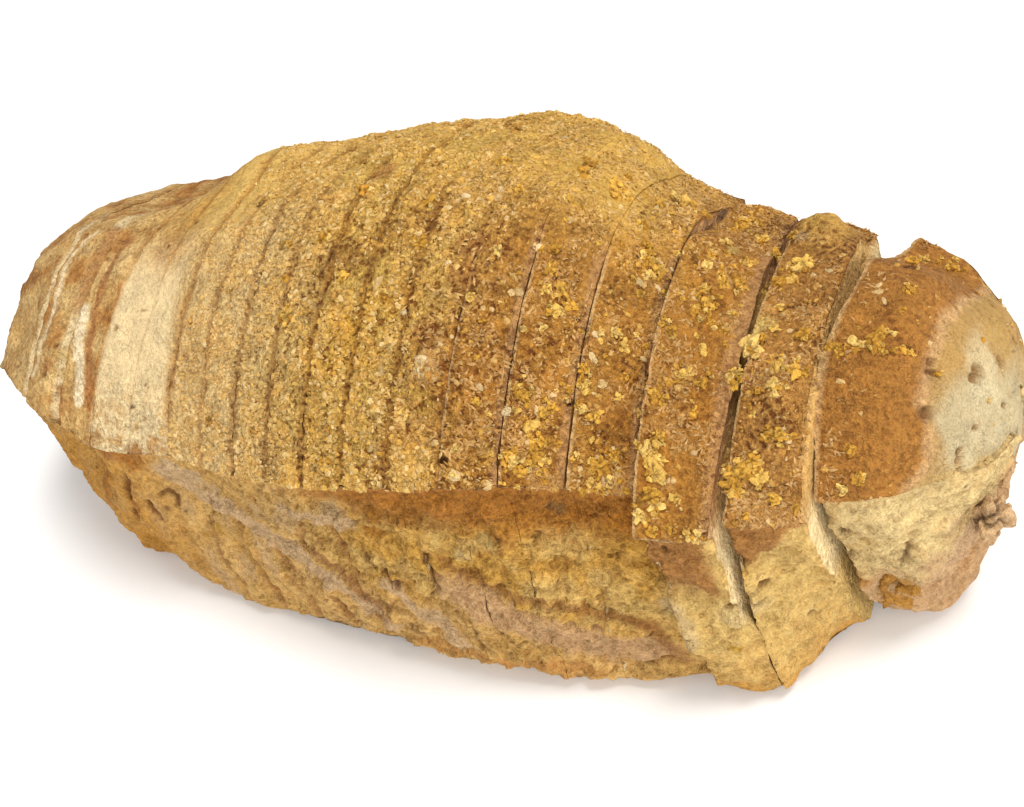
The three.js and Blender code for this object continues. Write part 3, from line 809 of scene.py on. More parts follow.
SLICE_LEVEL = 0.3  # the most that a fanned slice's crown stands above or below
LUMP = (17, (184, 30, 63), 5.0, 4.6)  # slice, place, height and width of a lump of dough on the crown
SWELLS = (  # across, down, then height and width in millimetres: where the outline swells or sinks
    (425, 370, 1.4, 2.6), (18, 330, -2.4, 6), (74, 454, -6.5, 8), (985, 290, -1.6, 7), (1008, 330, 1.6, 6),
    (843, 600, -2, 7), (160, 546, -2.5, 6), (968, 572, -3, 6), (315, 618, -2.5, 9), (378, 634, -1.8, 8),
    (630, 672, -2.2, 10), (762, 692, -1.5, 8), (849, 632, -2.6, 6),
)
DIPS = (  # across, down, then how far the top is lowered (raised if negative) and how widely
    (281, 168, -5.6, 9), (730, 194, 3, 7), (690, 186, 2.2, 8), (868, 226, 1.5, 6), (912, 238, 4, 9),
    (955, 256, 2.6, 9), (160, 190, 3.6, 9), (218, 177, 3, 9), (250, 163, 3, 8), (370, 137, 3.6, 9),
    (435, 126, 2.4, 9), (522, 112, 5, 9), (553, 111, 2.4, 8), (637, 146, -2.4, 6), (135, 200, 1.2, 6),
    (762, 221, -4.6, 6), (742, 197, 2, 5), (873, 232, 3.5, 5.5), (920, 240, 1.5, 5), (714, 262, -3.4, 6),
    (820, 216, -2.4, 6), (998, 312, -2.4, 6),
)
SWELL_SPOTS = spotted(SWELLS)
DIP_SPOTS = spotted(DIPS)
OVERLAP = 0.02  # by which the sides of a closed saw cut meet
CROWN_CLOSED = {3: 1.3, 4: 1.6, 5: 1.5, 6: 1.5, 7: 1.4, 8: 1.4, 9: 1.4, 10: 1.4, 11: 1.4, 12: 1.4,
                13: 0.6, 14: 0.7}  # share of each saw cut that crumbs close on the crown
CUT_TOPS = {11: 0.44, 12: 0.37, 13: 0.41, 14: 0.42, 15: 0.5}  # how far up the crown a cut can be followed
CUT_RIM = {1: (0.3, 1.05), 2: (0.3, 1.1)}  # pale torn edge: width on the crust, share of the cut it fills
CLOSED_WALLS = (1, 2, *CROWN_CLOSED)  # saw cuts that are closed down the walls
BOWS = (  # slice, side, how far its edge bows out over the crown, and where: middle and half width in y
    (16, 1, 1.7, -5, 24), (17, 1, -1.6, -18, 12.5), (17, 1, -1.2, 36, 6),
    (18, 0, 2.9, -18, 12.5), (18, 0, 2.6, 18, 9),
)
BRIDGE_TOP = 38.0  # height up to which torn crumb bridges the cut between slices 16 and 17
SOFT_GROOVES = (5, 6, 7, 8, 9, 10, 11, 12)  # saw cuts with rounded shoulders on the crown


def heel_smoothing(p, step):
    """Fills the undercut below the last slice's lip and rounds the lip where the crust is torn off."""
    beyond = ramp(past_pale_edge(p), -1.0, 3.0)
    filled = LIP_UNDERCUT * np.minimum(step / 0.05, 1) * np.maximum(1 - step / 0.45, 0) * ON_FRONT
    rounded = 1.1 * np.exp(-((step / np.where(ON_FRONT, 0.07, 0.03)) ** 2)) * (ON_FRONT | ON_CROWN)
    return beyond * (filled - rounded)


def swells(n, p, spots):
    """Sum of the round swells of slice n at the points p."""
    height = np.zeros(p.shape[:-1])
    for owner, place, tall, width in spots:
        if shares(n, owner):
            height = height + tall * np.exp(-0.5 * (np.linalg.norm(p - place, axis=-1) / width) ** 2)
    return height


def cut_fade(kerf):
    """For each point of the ring, 1 where meal hides a saw cut high on the crown."""
    top = CUT_TOPS.get(kerf, 9.0)
    return ramp(RING_STEP, top, top + 0.06) * ON_CROWN


def cut_seen(n, right):
    """1 where the saw cut nearest to a point of slice n shows, 0 where meal hides it."""
    return 1 - np.where(right, cut_fade(n), cut_fade(n - 1))


def slice_level(n):
    """How far slice n's crown stands above or below the loaf's."""
    return (0.2 if n <= LAST_THIN else 1.0) * SLICE_LEVEL * (2 * lattice(n, 0, 0, 109) - 1)


def dressed_crown(n, p, across, edge, right, seen, soft):
    """Relief, colour and grit of the crown; edge is the distance from the saw cut."""
    x = p[..., 0]
    start, end = slice_range(n)
    pits = holes(p, 7.5, 81, 0.3, 1.3) * (1 - 0.75 * meal_density(x, across)) * (0.3 if n == SLICES else 1)
    color, grit = crown_color(n, p, across)
    lip = np.exp(-((across / 0.005) ** 2)) * ramp(x, 88, 110) * ramp(x, 214, 206)
    wide = np.where(soft, 1.5, 0.8)
    groove = ramp(edge + 0.35 * layered(p, 3, 83), wide, 0.1) * (1 - 0.9 * pale_patch(p, across)) * seen
    fanned = seen * (n > 12)
    color = painted(
        color,
        # painted shade in the pores
        (CRUST_DARK_AND_SHADE, 0.75 * pits),
        # painted highlight along the lip
        (LIP_HIGHLIGHT, 0.75 * lip),
        # painted shade in the saw cut's groove
        (CRUST_BROWN_AND_SHADE, 0.62 * groove),
        (CRUST_DARK_AND_SHADE, 0.22 * groove * ramp(layered(p, 5, 85), -0.4, 0.5)),
        # painted highlight along a fanned slice's left edge
        (LIP_HIGHLIGHT, 0.6 * ramp(x - start, 0.4, 0.05) * fanned),
        (CUT_TAN, 0.6 * ramp(end - x, 1.8, 0.6) * (n < 17) * fanned),
    )
    if n in CUT_RIM:
        rim = CUT_RIM[n][0] + 0.55 * ramp(across, 0.3, 0.36) * (n == 2)
        torn = ramp(end - x + 0.3 * layered(p, 5, 111), rim + 0.3, rim)
        color = tint(color, PALE_SKIN, torn * ramp(across, 0.66, 0.5) * ramp(across, 0.02, 0.1))
    return crown_relief(p, across) - 0.9 * pits + slice_level(n), color, grit


def dressed_wall(n, p, t, edge):
    """Relief, colour and grit of a wall, and where a saw cut scores it."""
    x = p[..., 0]
    pits = holes(p, 9, 87, 0.3, 1.3)
    color, grit = wall_color(n, p, t)
    scored = ramp(edge + 0.6 * layered(p, 4, 187), 1.5, 0.2) * ramp(t, 0.1, 0.3)
    scored = scored * (ramp(x, 40, 50) * ramp(x, 116, 100) * ramp(layered(p, 12, 189), -0.5, 0.1))
    ridge = ramp(edge + 0.6 * layered(p, 4, 191), 1.6, 3.6) * ramp(layered(p, 9, 193), -0.2, 0.3)
    color = painted(
        color,
        # painted shade in the pores
        (CRUST_DARK_AND_SHADE, 0.6 * pits),
        (RIDGE_PINK, 0.5 * ridge * ramp(x, 30, 45) * ramp(x, 104, 88) * ramp(t, 0.2, 0.4)),
        # painted shade in the saw cut scored down the wall
        (SCORE_SHADE, 0.6 * scored),
    )
    return wall_relief(p, t) - 1.0 * pits, color, grit, scored


def dressed_under(n, p):
    """Colour of the underside, which rises at the heels and looks like the walls there."""
    foot, _ = wall_color(n, p, np.full(p.shape[:2], 0.9))
    raised = ramp(p[..., 2], 0.3, 2.5)[..., None]
    base = tint(linear(BASE_BROWN), CRUST_TAN, 0.5 * ramp(layered(p, 10, 89), -0.4, 0.6))
    return base + raised * (foot - base)


def slice_colors_and_relief(n, grid):
    """Relief along the normals, colour and grit for every point of the ring grid."""
    start, end = slice_range(n)
    x = grid[..., 0]
    height, scored = np.zeros(x.shape), np.zeros(x.shape)
    color = np.zeros(grid.shape)
    grit = np.full(x.shape, 0.3)
    step = RING_STEP + 0 * x
    edge = end - x if n == 1 else x - start if n == SLICES else np.minimum(x - start, end - x)
    right = x > (start + end) / 2
    soft = np.isin(n - 1 + right, SOFT_GROOVES)
    seen = cut_seen(n, right)
    joint = grid.copy()  # both sides of a cut take their relief and colour from its middle
    joint[..., 0] += np.where(right, 0.5, -0.5) * KERF * ramp(edge, 1.5, 0.0)
    part = [values[:, ON_CROWN] for values in (joint, step, edge, right, seen, soft)]
    height[:, ON_CROWN], color[:, ON_CROWN], grit[:, ON_CROWN] = dressed_crown(n, *part)
    for zone in (BACK, FRONT):
        here = RING_ZONE == zone
        wall = dressed_wall(n, joint[:, here], step[:, here], edge[:, here])
        height[:, here], color[:, here], grit[:, here], scored[:, here] = wall
    color[:, ON_UNDER] = dressed_under(n, grid[:, ON_UNDER])
    if n == LUMP[0]:
        swell = np.exp(-0.5 * (np.linalg.norm(grid - np.array(LUMP[1]), axis=-1) / LUMP[3]) ** 2)
        height = height + LUMP[2] * swell * (1 + 0.25 * layered(grid, 3, 91))
        color = tint(color, CRUST_GOLD, 0.6 * swell)
    height = height + swells(n, grid, SWELL_SPOTS)
    if n == 1:
        height = height + 2.4 * layered(grid, 4.0, 171) * ramp(x, -2, -16)
    if n == SLICES:
        height = height + heel_smoothing(grid, step)
    color, dents = mark(n, joint, color)
    bridged = foot_bridge(grid) * (right if n == 16 else ~right) * (n in (16, 17))
    touching = np.where(ON_CROWN, 1.0, (1 - bridged) if n > LAST_THIN else 0.15 + 1.6 * scored)
    depth = (0.22 + 0.2 * layered(grid, 6, 107) + 0.16 * soft) * touching * seen
    shoulder = depth * np.exp(-((edge / np.where(soft | (scored > 0), 0.7, 0.3)) ** 2))
    return height - dents - shoulder * ~ON_UNDER, color, grit, edge


def kerf_gap(n, p):
    """Width of the saw cut between slice n and the next one at the points p."""
    def shift(m):
        dx, _, lean, turn = STANCE.get(m, UPRIGHT)
        spread = FOOT_SPREAD.get(m, 0.0) * np.maximum(1 - p[..., 2] / SPREAD_TOP, 0)
        return dx - lean * p[..., 2] - np.sin(np.radians(turn)) * p[..., 1] + spread * (m == n)
    return KERF + shift(n + 1) - shift(n)


def foot_bridge(p):
    """1 where torn crumb bridges the cut between slices 16 and 17, near their feet."""
    return ramp(p[..., 2] + 5 * layered(p, 6, 181), BRIDGE_TOP, BRIDGE_TOP - 12)


def wall_step(n, p, right, edge):
    """How far the walls bend aside at a closed cut, so that neighbours meet."""
    def half_way(other):
        return 0.5 * (STANCE.get(other, UPRIGHT)[1] - STANCE.get(n, UPRIGHT)[1])
    step = np.zeros(p.shape[:-1])
    for kerf, there, other in ((n - 1, ~right, n - 1), (n, right, n + 1)):
        if kerf in CLOSED_WALLS:
            step = np.where(there, half_way(other), step)
        if kerf == 16:
            step = np.where(there, half_way(other) * foot_bridge(p), step)
    return step * ramp(edge, 3.0, 0.0) * ~ON_UNDER


def kerf_fill(n, p, right):
    """How far crust and crumb stand out over the saw cut at each side of slice n."""
    fill = np.zeros(p.shape[:-1])
    for kerf, there in ((n - 1, ~right), (n, right)):
        gap = kerf_gap(kerf, p)
        if kerf in CROWN_CLOSED:
            closed = CROWN_CLOSED[kerf] + 0.5 * layered(p, 4, 105) + 1.5 * cut_fade(kerf)
            closed = np.where(ON_CROWN, closed, 2.0)
            fill = np.where(there, 0.5 * np.minimum(gap * np.maximum(closed, 0), gap + OVERLAP), fill)
        elif kerf in CUT_RIM and kerf == n:
            ragged = np.where(ON_CROWN, CUT_RIM[n][1] + 0.12 * layered(p, 3, 115), 1.02)
            fill = np.where(there, gap * np.minimum(ragged, 1.02), fill)
    if n == 16:
        fill = np.where(ON_FRONT & right, foot_bridge(p) * kerf_gap(n, p), fill)
    for owner, side, reach, middle, half in BOWS:
        if owner == n:
            bow = reach * np.exp(-(((p[..., 1] - middle) / half) ** 2)) * ON_CROWN
            fill = np.where(right == bool(side), fill + bow, fill)
    return fill


TORN_EDGE = 2.6  # how far slice 16's torn left edge is bitten back below its crust
# cut faces, by slice and side, that show in the gaps of the fan
OPEN_FACES = {(15, 1), (16, 0), (16, 1), (17, 0), (17, 1), (18, 0)}
# size of each ring of a face beside the face's outline
FACE_RINGS = np.array([0.992, 0.98, 0.965, 0.945, 0.92, 0.89, 0.86, 0.82, 0.78, 0.72, 0.64, 0.54, 0.4, 0.22])
HIDDEN_RINGS = np.array([0.985, 0.94])


def face_rings(n, side, outline):
    """Rings of a cut face or of a heel's tip, from the outline inwards, with colours and grit."""
    flat = slice_range(n)[side]
    centre = outline.mean(axis=0)
    inward = -1.0 if side else 1.0
    tip = (n, side) in ((1, 0), (SLICES, 1))
    radii = FACE_RINGS if tip or (n, side) in OPEN_FACES else HIDDEN_RINGS
    rings = centre + (outline - centre)[None] * radii[:, None, None]
    if tip:
        rings[..., 0] = flat - inward * 1.4 * (1 - radii[:, None] ** 2)
        rings[..., 0] += inward * (0.5 * layered(rings, 6, 93) + 0.3)
        color, grit = crown_color(n, rings, np.full(rings.shape[:-1], 0.3))
        color, dents = mark(n, rings, color)
        rings[..., 0] += inward * dents
        return rings, color, grit
    rings[..., 0] = flat + (outline[:, 0] - flat)[None] * ramp(radii, 0.9, 1.0)[:, None]
    rim = (1 - radii)[:, None] * np.linalg.norm((outline - centre)[:, 1:], axis=-1)[None]
    pits = holes(rings, 4.2, 95, 0.42, 1.1)
    dent = 0.16 + 0.12 * layered(rings, 1.6, 97) + 0.9 * pits
    color = tint(face_color(n, side, rings, rim), CRUMB_SHADE, 0.6 * pits)
    color, dents = mark(n, rings, color)
    rings[..., 0] += inward * (dent * ramp(rim, 0.2, 1.2) + dents)
    return rings, color, np.full(rim.shape, 0.3)


def slice_mesh(n):
    """Vertices, faces, colours, grit and rims (1 or 2 round a cut) of one slice in its place."""
    start, end = slice_range(n)
    xs = x_samples(n)
    base = section_grid(n, xs)
    height, color, grit, edge = slice_colors_and_relief(n, base)
    grid = base + normals_of(base) * height[..., None]
    right = base[..., 0] > (start + end) / 2
    near = ramp(edge, 1.0, 0.0)
    chips = np.maximum(layered(base, 2.2, 99) - 0.12, 0) * 0.9
    chips = chips * np.where(n > LAST_THIN, 1.0, 0.35 * ON_CROWN) * cut_seen(n, right)
    if n == 16:
        chips = chips + TORN_EDGE * ramp(layered(base, 3.2, 179), -0.2, 0.4) * (~right & ON_FRONT)
    grid[..., 0] += np.where(right, -1.0, 1.0) * near * (chips - kerf_fill(n, base, right))
    grid[..., 1] += wall_step(n, base, right, edge)
    grid[..., 2] = np.maximum(grid[..., 2] - swells(n, base, DIP_SPOTS), 0)
    rows, count = grid.shape[:2]
    total = rows * count
    vertices, colors, grits = [grid.reshape(-1, 3)], [color.reshape(-1, 3)], [grit.ravel()]
    faces = tube_faces(rows, count)
    for side, outline in ((0, 0), (1, total - count)):
        rings, ring_color, ring_grit = face_rings(n, side, grid[-side])
        rings[..., 2] = np.maximum(rings[..., 2], 0)
        cap = []
        a = outline
        for b in range(total, total + len(rings) * count, count):
            cap += [(a + j, a + (j + 1) % count, b + (j + 1) % count, b + j) for j in range(count)]
            a = b
        total += len(rings) * count
        cap += fan(a, total, count)
        total += 1
        faces += [face[::-1] for face in cap] if side else cap
        vertices += [rings.reshape(-1, 3), rings[-1].mean(axis=0)[None]]
        colors += [ring_color.reshape(-1, 3), ring_color[-1].mean(axis=0)[None]]
        grits += [ring_grit.ravel(), ring_grit[-1].mean(keepdims=True)]
    points = stand(n, np.concatenate(vertices))
    rims = np.zeros(len(points), int)
    rims[:count] = 1
    rims[(rows - 1) * count:rows * count] = 2
    return points, faces, np.concatenate(colors), np.concatenate(grits), rims


# ---- making Blender objects ----
def make_object(name, points, faces, colors, grits, material, smooth=True):
    """A piece that rides on the loaf, with its colours and grit as attributes of its points."""
    mesh = bpy.data.meshes.new(name)
    mesh.from_pydata(((points - ORIGIN) * MM).tolist(), [], faces)
    tone = mesh.attributes.new("tone", "FLOAT_COLOR", "POINT")
    rgba = np.concatenate([colors, np.ones((len(colors), 1))], axis=1)
    tone.data.foreach_set("color", rgba.ravel())
    grit = mesh.attributes.new("grit", "FLOAT", "POINT")
    grit.data.foreach_set("value", np.asarray(grits, float))
    mesh.materials.append(material)
    mesh.polygons.foreach_set("use_smooth", [smooth] * len(mesh.polygons))
    mesh.update()
    piece = bpy.data.objects.new(name, mesh)
    bpy.context.collection.objects.link(piece)
    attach(piece, "root")
    return piece


def sharpen(mesh, rims):
    """Keeps the edges round the cuts sharp."""
    ends = np.zeros(2 * len(mesh.edges), int)
    mesh.edges.foreach_get("vertices", ends)
    first, second = rims[ends.reshape(-1, 2)].T
    sharp = mesh.attributes.new("sharp_edge", "BOOLEAN", "EDGE")
    sharp.data.foreach_set("value", (first > 0) & (first == second))


class Shader:
    """A material's node tree, with one short method for each kind of node that it uses."""

    def __init__(self, name):
        self.material = bpy.data.materials.new(name)
        self.material.use_nodes = True
        self.tree = self.material.node_tree
        self.tree.nodes.clear()
        self.place = self.add("TexCoord", {}).outputs["Object"]

    def add(self, kind, inputs, **settings):
        """A node with these inputs, each a number or another node's output."""
        made = self.tree.nodes.new("ShaderNode" + kind)
        for key, value in settings.items():
            setattr(made, key, value)
        for key, value in inputs.items():
            if isinstance(value, bpy.types.NodeSocket):
                self.tree.links.new(value, made.inputs[key])
            else:
                made.inputs[key].default_value = value
        return made

    def attribute(self, name, output):
        return self.add("Attribute", {}, attribute_name=name).outputs[output]

    def noise(self, size, detail, twist=0.0):
        inputs = {"Scale": 1 / (size * MM), "Detail": detail, "Distortion": twist, "Vector": self.place}
        return self.add("TexNoise", inputs).outputs["Fac"]

    def remap(self, value, low, high, to_low=0.0, to_high=1.0):
        inputs = {"Value": value, "From Min": low, "From Max": high, "To Min": to_low, "To Max": to_high}
        return self.add("MapRange", inputs).outputs["Result"]

    def maths(self, operation, a, b):
        return self.add("Math", {0: a, 1: b}, operation=operation).outputs["Value"]

    def blend(self, kind, amount, a, b):
        inputs = {"Factor": amount, "A": a, "B": b}
        return self.add("Mix", inputs, data_type="RGBA", blend_type=kind).outputs["Result"]


FLAKE_AND_HIGHLIGHT_LIGHT = (1.6, 1.65, 1.75, 1.0)  # how much lighter painted highlights on grain tops and light flakes are than the crust under them
GAP_SHADE = (0.44, 0.28, 0.15, 1.0)  # what painted shade in a gap between grains leaves of the colour


def bread_material(name, grain, strength):
    """Crust or crumb: the mesh's tone, where gritty with painted shade in gaps, painted highlights and light
    flakes.
    """
    shader = Shader(name)

    def times(a, b):
        return shader.maths("MULTIPLY", a, b)

    def plus(a, b):
        return shader.maths("ADD", a, b)

    tone = shader.attribute("tone", "Color")
    grit = times(shader.attribute("grit", "Fac"), strength)
    coarse, fine = shader.noise(1.15 * grain, 3.0), shader.noise(0.42 * grain, 2.0)
    off_middle = shader.maths("ABSOLUTE", plus(shader.noise(1.7 * grain, 2.0, 1.2), -0.5), 0.0)
    worms = times(shader.remap(off_middle, 0.028, 0.0), shader.remap(shader.noise(5.0, 2.0), 0.45, 0.58))
    # painted shade in the low gaps of the coarse grain, painted highlights on its raised tops
    shaded_gaps, lit_tops = shader.remap(coarse, 0.47, 0.37), shader.remap(coarse, 0.53, 0.63)
    color = shader.blend("MULTIPLY", 1.0, tone, shader.remap(shader.noise(6.0, 3.0), 0.3, 0.7, 0.9, 1.1))
    # lighter where the fine relief stands high, as painted light
    color = shader.blend("MULTIPLY", 1.0, color, shader.remap(fine, 0.3, 0.7, 0.84, 1.16))
    color = shader.blend("MULTIPLY", times(shaded_gaps, grit), color, GAP_SHADE)
    light = times(times(shader.maths("MAXIMUM", lit_tops, worms), grit), 0.85)
    color = shader.blend("MIX", light, color, shader.blend("MULTIPLY", 1.0, color, FLAKE_AND_HIGHLIGHT_LIGHT))
    relief = plus(plus(times(coarse, 1.3), times(fine, 0.5)), times(worms, 0.25))
    bump = shader.add("Bump", {"Distance": 1.8 * grain * MM, "Height": times(relief, plus(grit, 0.25))})
    surface = shader.add("BsdfPrincipled", {
        "Base Color": color, "Roughness": 0.88, "Specular IOR Level": 0.25, "Normal": bump.outputs["Normal"],
    })
    shader.add("OutputMaterial", {"Surface": surface.outputs["BSDF"]})
    return shader.material


crust_material = bread_material("baked_crust", 1.0, 1.0)

bodies = []
for number in range(1, SLICES + 1):
    points, faces, colors, grits, rims = slice_mesh(number)
    piece = make_object(f"loaf_slice_{number:02d}", points, faces, colors, grits, crust_material)
    sharpen(piece.data, rims)
    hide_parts(f"slice_{number:02d}")
    bodies.append((points, faces))
finished = tree_of(bodies)


# ---- things scattered on the crown ----
def ball(level):
    """Vertices and triangles of an icosphere."""
    g = (1 + 5 ** 0.5) / 2
    points = [(-1, g, 0), (1, g, 0), (-1, -g, 0), (1, -g, 0), (0, -1, g), (0, 1, g),
              (0, -1, -g), (0, 1, -g), (g, 0, -1), (g, 0, 1), (-g, 0, -1), (-g, 0, 1)]
    points = [unit(np.array(p)) for p in points]
    triangles = [(0, 11, 5), (0, 5, 1), (0, 1, 7), (0, 7, 10), (0, 10, 11), (1, 5, 9), (5, 11, 4),
                 (11, 10, 2), (10, 7, 6), (7, 1, 8), (3, 9, 4), (3, 4, 2), (3, 2, 6), (3, 6, 8),
                 (3, 8, 9), (4, 9, 5), (2, 4, 11), (6, 2, 10), (8, 6, 7), (9, 8, 1)]
    for _ in range(level):
        middle = {}
        split = []
        for a, b, c in triangles:
            mids = []
            for pair in ((a, b), (b, c), (c, a)):
                key = tuple(sorted(pair))
                if key not in middle:
                    middle[key] = len(points)
                    points.append(unit(points[key[0]] + points[key[1]]))
                mids.append(middle[key])
            ab, bc, ca = mids
            split += [(a, ab, ca), (b, bc, ab), (c, ca, bc), (ab, bc, ca)]
        triangles = split
    return np.array(points), np.array(triangles)


def corners(points, triangles):
    """Vertices, moved to one away from the middle, and triangles of a small shape."""
    return unit(np.array(points, float)), np.array(triangles)


SPLINTER = corners([(1, 1, 1), (1, -1, -1), (-1, 1, -1), (-1, -1, 1)],
                   [(0, 1, 2), (0, 3, 1), (0, 2, 3), (1, 3, 2)])
LOZENGE = corners([(1, 0, 0), (-1, 0, 0), (0, 1, 0), (0, -1, 0), (0, 0, 1), (0, 0, -1)],
                  [(0, 2, 4), (2, 1, 4), (1, 3, 4), (3, 0, 4), (2, 0, 5), (1, 2, 5), (3, 1, 5), (0, 3, 5)])
BALLS = {level: ball(level) for level in range(4)}


def set_down(shape, places, normals, local, tones):
    """Points, faces and colours of bits that are set on their places with a seeded turn."""
    count, size = local.shape[:2]
    u = unit(np.cross(random.normal(size=normals.shape), normals))
    turned = np.stack([u, np.cross(normals, u), normals], -1)
    placed = places[:, None] + np.einsum("nij,nkj->nki", turned, local)
    faces = shape[1][None] + (np.arange(count) * size)[:, None, None]
    return placed.reshape(-1, 3), faces.reshape(-1, 3), tones.reshape(-1, 3)


def bits(shape, places, normals, sizes, tones, rough):
    """Many bits of one shape, each bent out of true by a seeded amount."""
    points = shape[0]
    swell = 1 + rough * random.uniform(-1, 1, (len(places), len(points), 1))
    local = points[None] * swell * sizes[:, None, :]
    return set_down(shape, places, normals, local, np.broadcast_to(tones[:, None], local.shape))


def crumpled(level, places, normals, sizes, tones):
    """Lumps whose folds are deep, with painted shade darkening them."""
    points = BALLS[level][0]
    shifts = random.uniform(-50, 50, (len(places), 1, 3))
    fold = np.abs(layered(points[None] + shifts, 0.8, 131, 2))
    local = points[None] * (0.5 + 1.5 * fold)[..., None] * sizes[:, None, :]
    shade = 0.42 + 0.7 * ramp(fold, 0.0, 0.24)
    return set_down(BALLS[level], places, normals, local, tones[:, None] * shade[..., None])


def joined(name, groups, material, smooth=False):
    """One piece made of several groups of bits."""
    points, faces, colors = zip(*groups)
    starts = np.cumsum([0] + [len(part) for part in points])
    faces = np.concatenate([part + start for part, start in zip(faces, starts)]).tolist()
    grits = np.full(starts[-1], 0.35)
    piece = make_object(name, np.concatenate(points), faces, np.concatenate(colors), grits, material, smooth)


def picked(palette, count):
    """A seeded colour of the palette for each bit, a little lighter or darker."""
    return linear(palette)[random.integers(0, len(palette), count)] * random.uniform(0.85, 1.12, (count, 1))


def crown_frame(x, across):
    """Points on the crown and their outward normals."""
    p = np.stack([x, *dome_point(x, across)], -1)
    ahead = np.stack([x, *dome_point(x, across + 0.002)], -1)
    beside = np.stack([x + 0.05, *dome_point(x + 0.05, across)], -1)
    return p, unit(np.cross(beside - p, ahead - p))


DRAW_BATCH = 30000  # places drawn at a time


def crown_draw(count, weight):
    """Seeded places on the crown with normals and crust colours; weight gives the chance to be kept."""
    kept = []
    spans = np.array([np.ptp(slice_range(n)) for n in range(1, SLICES + 1)])
    while sum(len(part) for part in kept) < count:
        which = 1 + random.choice(SLICES, DRAW_BATCH, p=spans / spans.sum())
        fraction = random.uniform(0.02, 0.98, DRAW_BATCH)
        around = random.uniform(0.0, 0.98, DRAW_BATCH)
        chance = random.uniform(0, 1, DRAW_BATCH)
        for n in range(1, SLICES + 1):
            here = which == n
            start, end = slice_range(n)
            p, normal = crown_frame(start + (end - start) * fraction[here], around[here])
            keep = chance[here] < weight(n, p, around[here])
            p, normal, across = p[keep], normal[keep], around[here][keep]
            height = crown_relief(p, across) + slice_level(n) + swells(n, p, SWELL_SPOTS)
            raised = p + normal * height[:, None]
            raised[:, 2] -= swells(n, p, DIP_SPOTS)
            kept.append(np.stack([stand(n, raised), normal, crown_color(n, p, across)[0]], 1))
    return np.moveaxis(random.permutation(np.concatenate(kept))[:count], 1, 0)


def off_the_cuts(n, p):
    """0 beside a saw cut, 1 away from it."""
    start, end = slice_range(n)
    edge = np.minimum(p[..., 0] - start, end - p[..., 0])
    return ramp(edge + 0.5 * layered(p, 3, 161), 0.3, 1.2)


def meal_weight(n, p, across):
    """Chance that cornmeal lies at a place on the crown."""
    clumps = ramp(layered(p, 7, 101), -0.5, 0.2)
    fine = ramp(layered(p, 2.4, 103), -0.45, 0.25)
    thick = spot_weight(n, p, THICK_SPOTS)
    density = np.maximum(meal_density(p[..., 0], across), 0.5 * thick)
    return density * clumps * fine * off_the_cuts(n, p) * (1 - 0.92 * spot_weight(n, p, BARE_SPOTS))


def flake_weight(n, p, across):
    """Chance that a curl of crust stands up at a place on the crown."""
    there = ramp(p[..., 0], 112, 140) * ramp(p[..., 0], 212, 206)
    return there * ramp(layered(p, 6, 141), -0.25, 0.25) * (0.35 if n == SLICES else 1.0)


random = np.random.default_rng(18)
meal_material = bread_material("cornmeal", 0.5, 0.6)
FINE_MEAL = [(246, 206, 128), (222, 172, 88), (252, 222, 160), (206, 150, 70), (240, 190, 92)]
CURL_COLORS = [(240, 200, 138), (212, 162, 96)]


def cornmeal(name, count, shape, size, spread, flat, rough):
    """Grains from size[0] to size[1], uneven by spread and flattened to a share of their height."""
    places, normals, under = crown_draw(count, meal_weight)
    sizes = random.uniform(*size, (count, 1)) * random.uniform(*spread, (count, 3)) * np.array([1, 1, flat])
    tones = 0.45 * under + 0.55 * picked(FINE_MEAL, count)
    joined(name, [bits(shape, places, normals, sizes, tones, rough)], meal_material)


cornmeal("cornmeal_fine", 38000, SPLINTER, (0.26, 0.56), (0.55, 1.2), 1.0, 0.25)
cornmeal("cornmeal_coarse", 5200, BALLS[0], (0.4, 0.85), (0.6, 1.15), 0.7, 0.3)

places, normals, under = crown_draw(8500, flake_weight)
tilted = unit(normals + 0.4 * random.normal(size=normals.shape))
sizes = random.uniform(0.5, 1.1, (len(places), 1)) * np.array([1.0, 0.34, 0.16])
tones = 0.55 * under + 0.45 * picked(CURL_COLORS, len(places))
joined("crust_curls", [bits(LOZENGE, places, tilted, sizes, tones, 0.3)], meal_material)

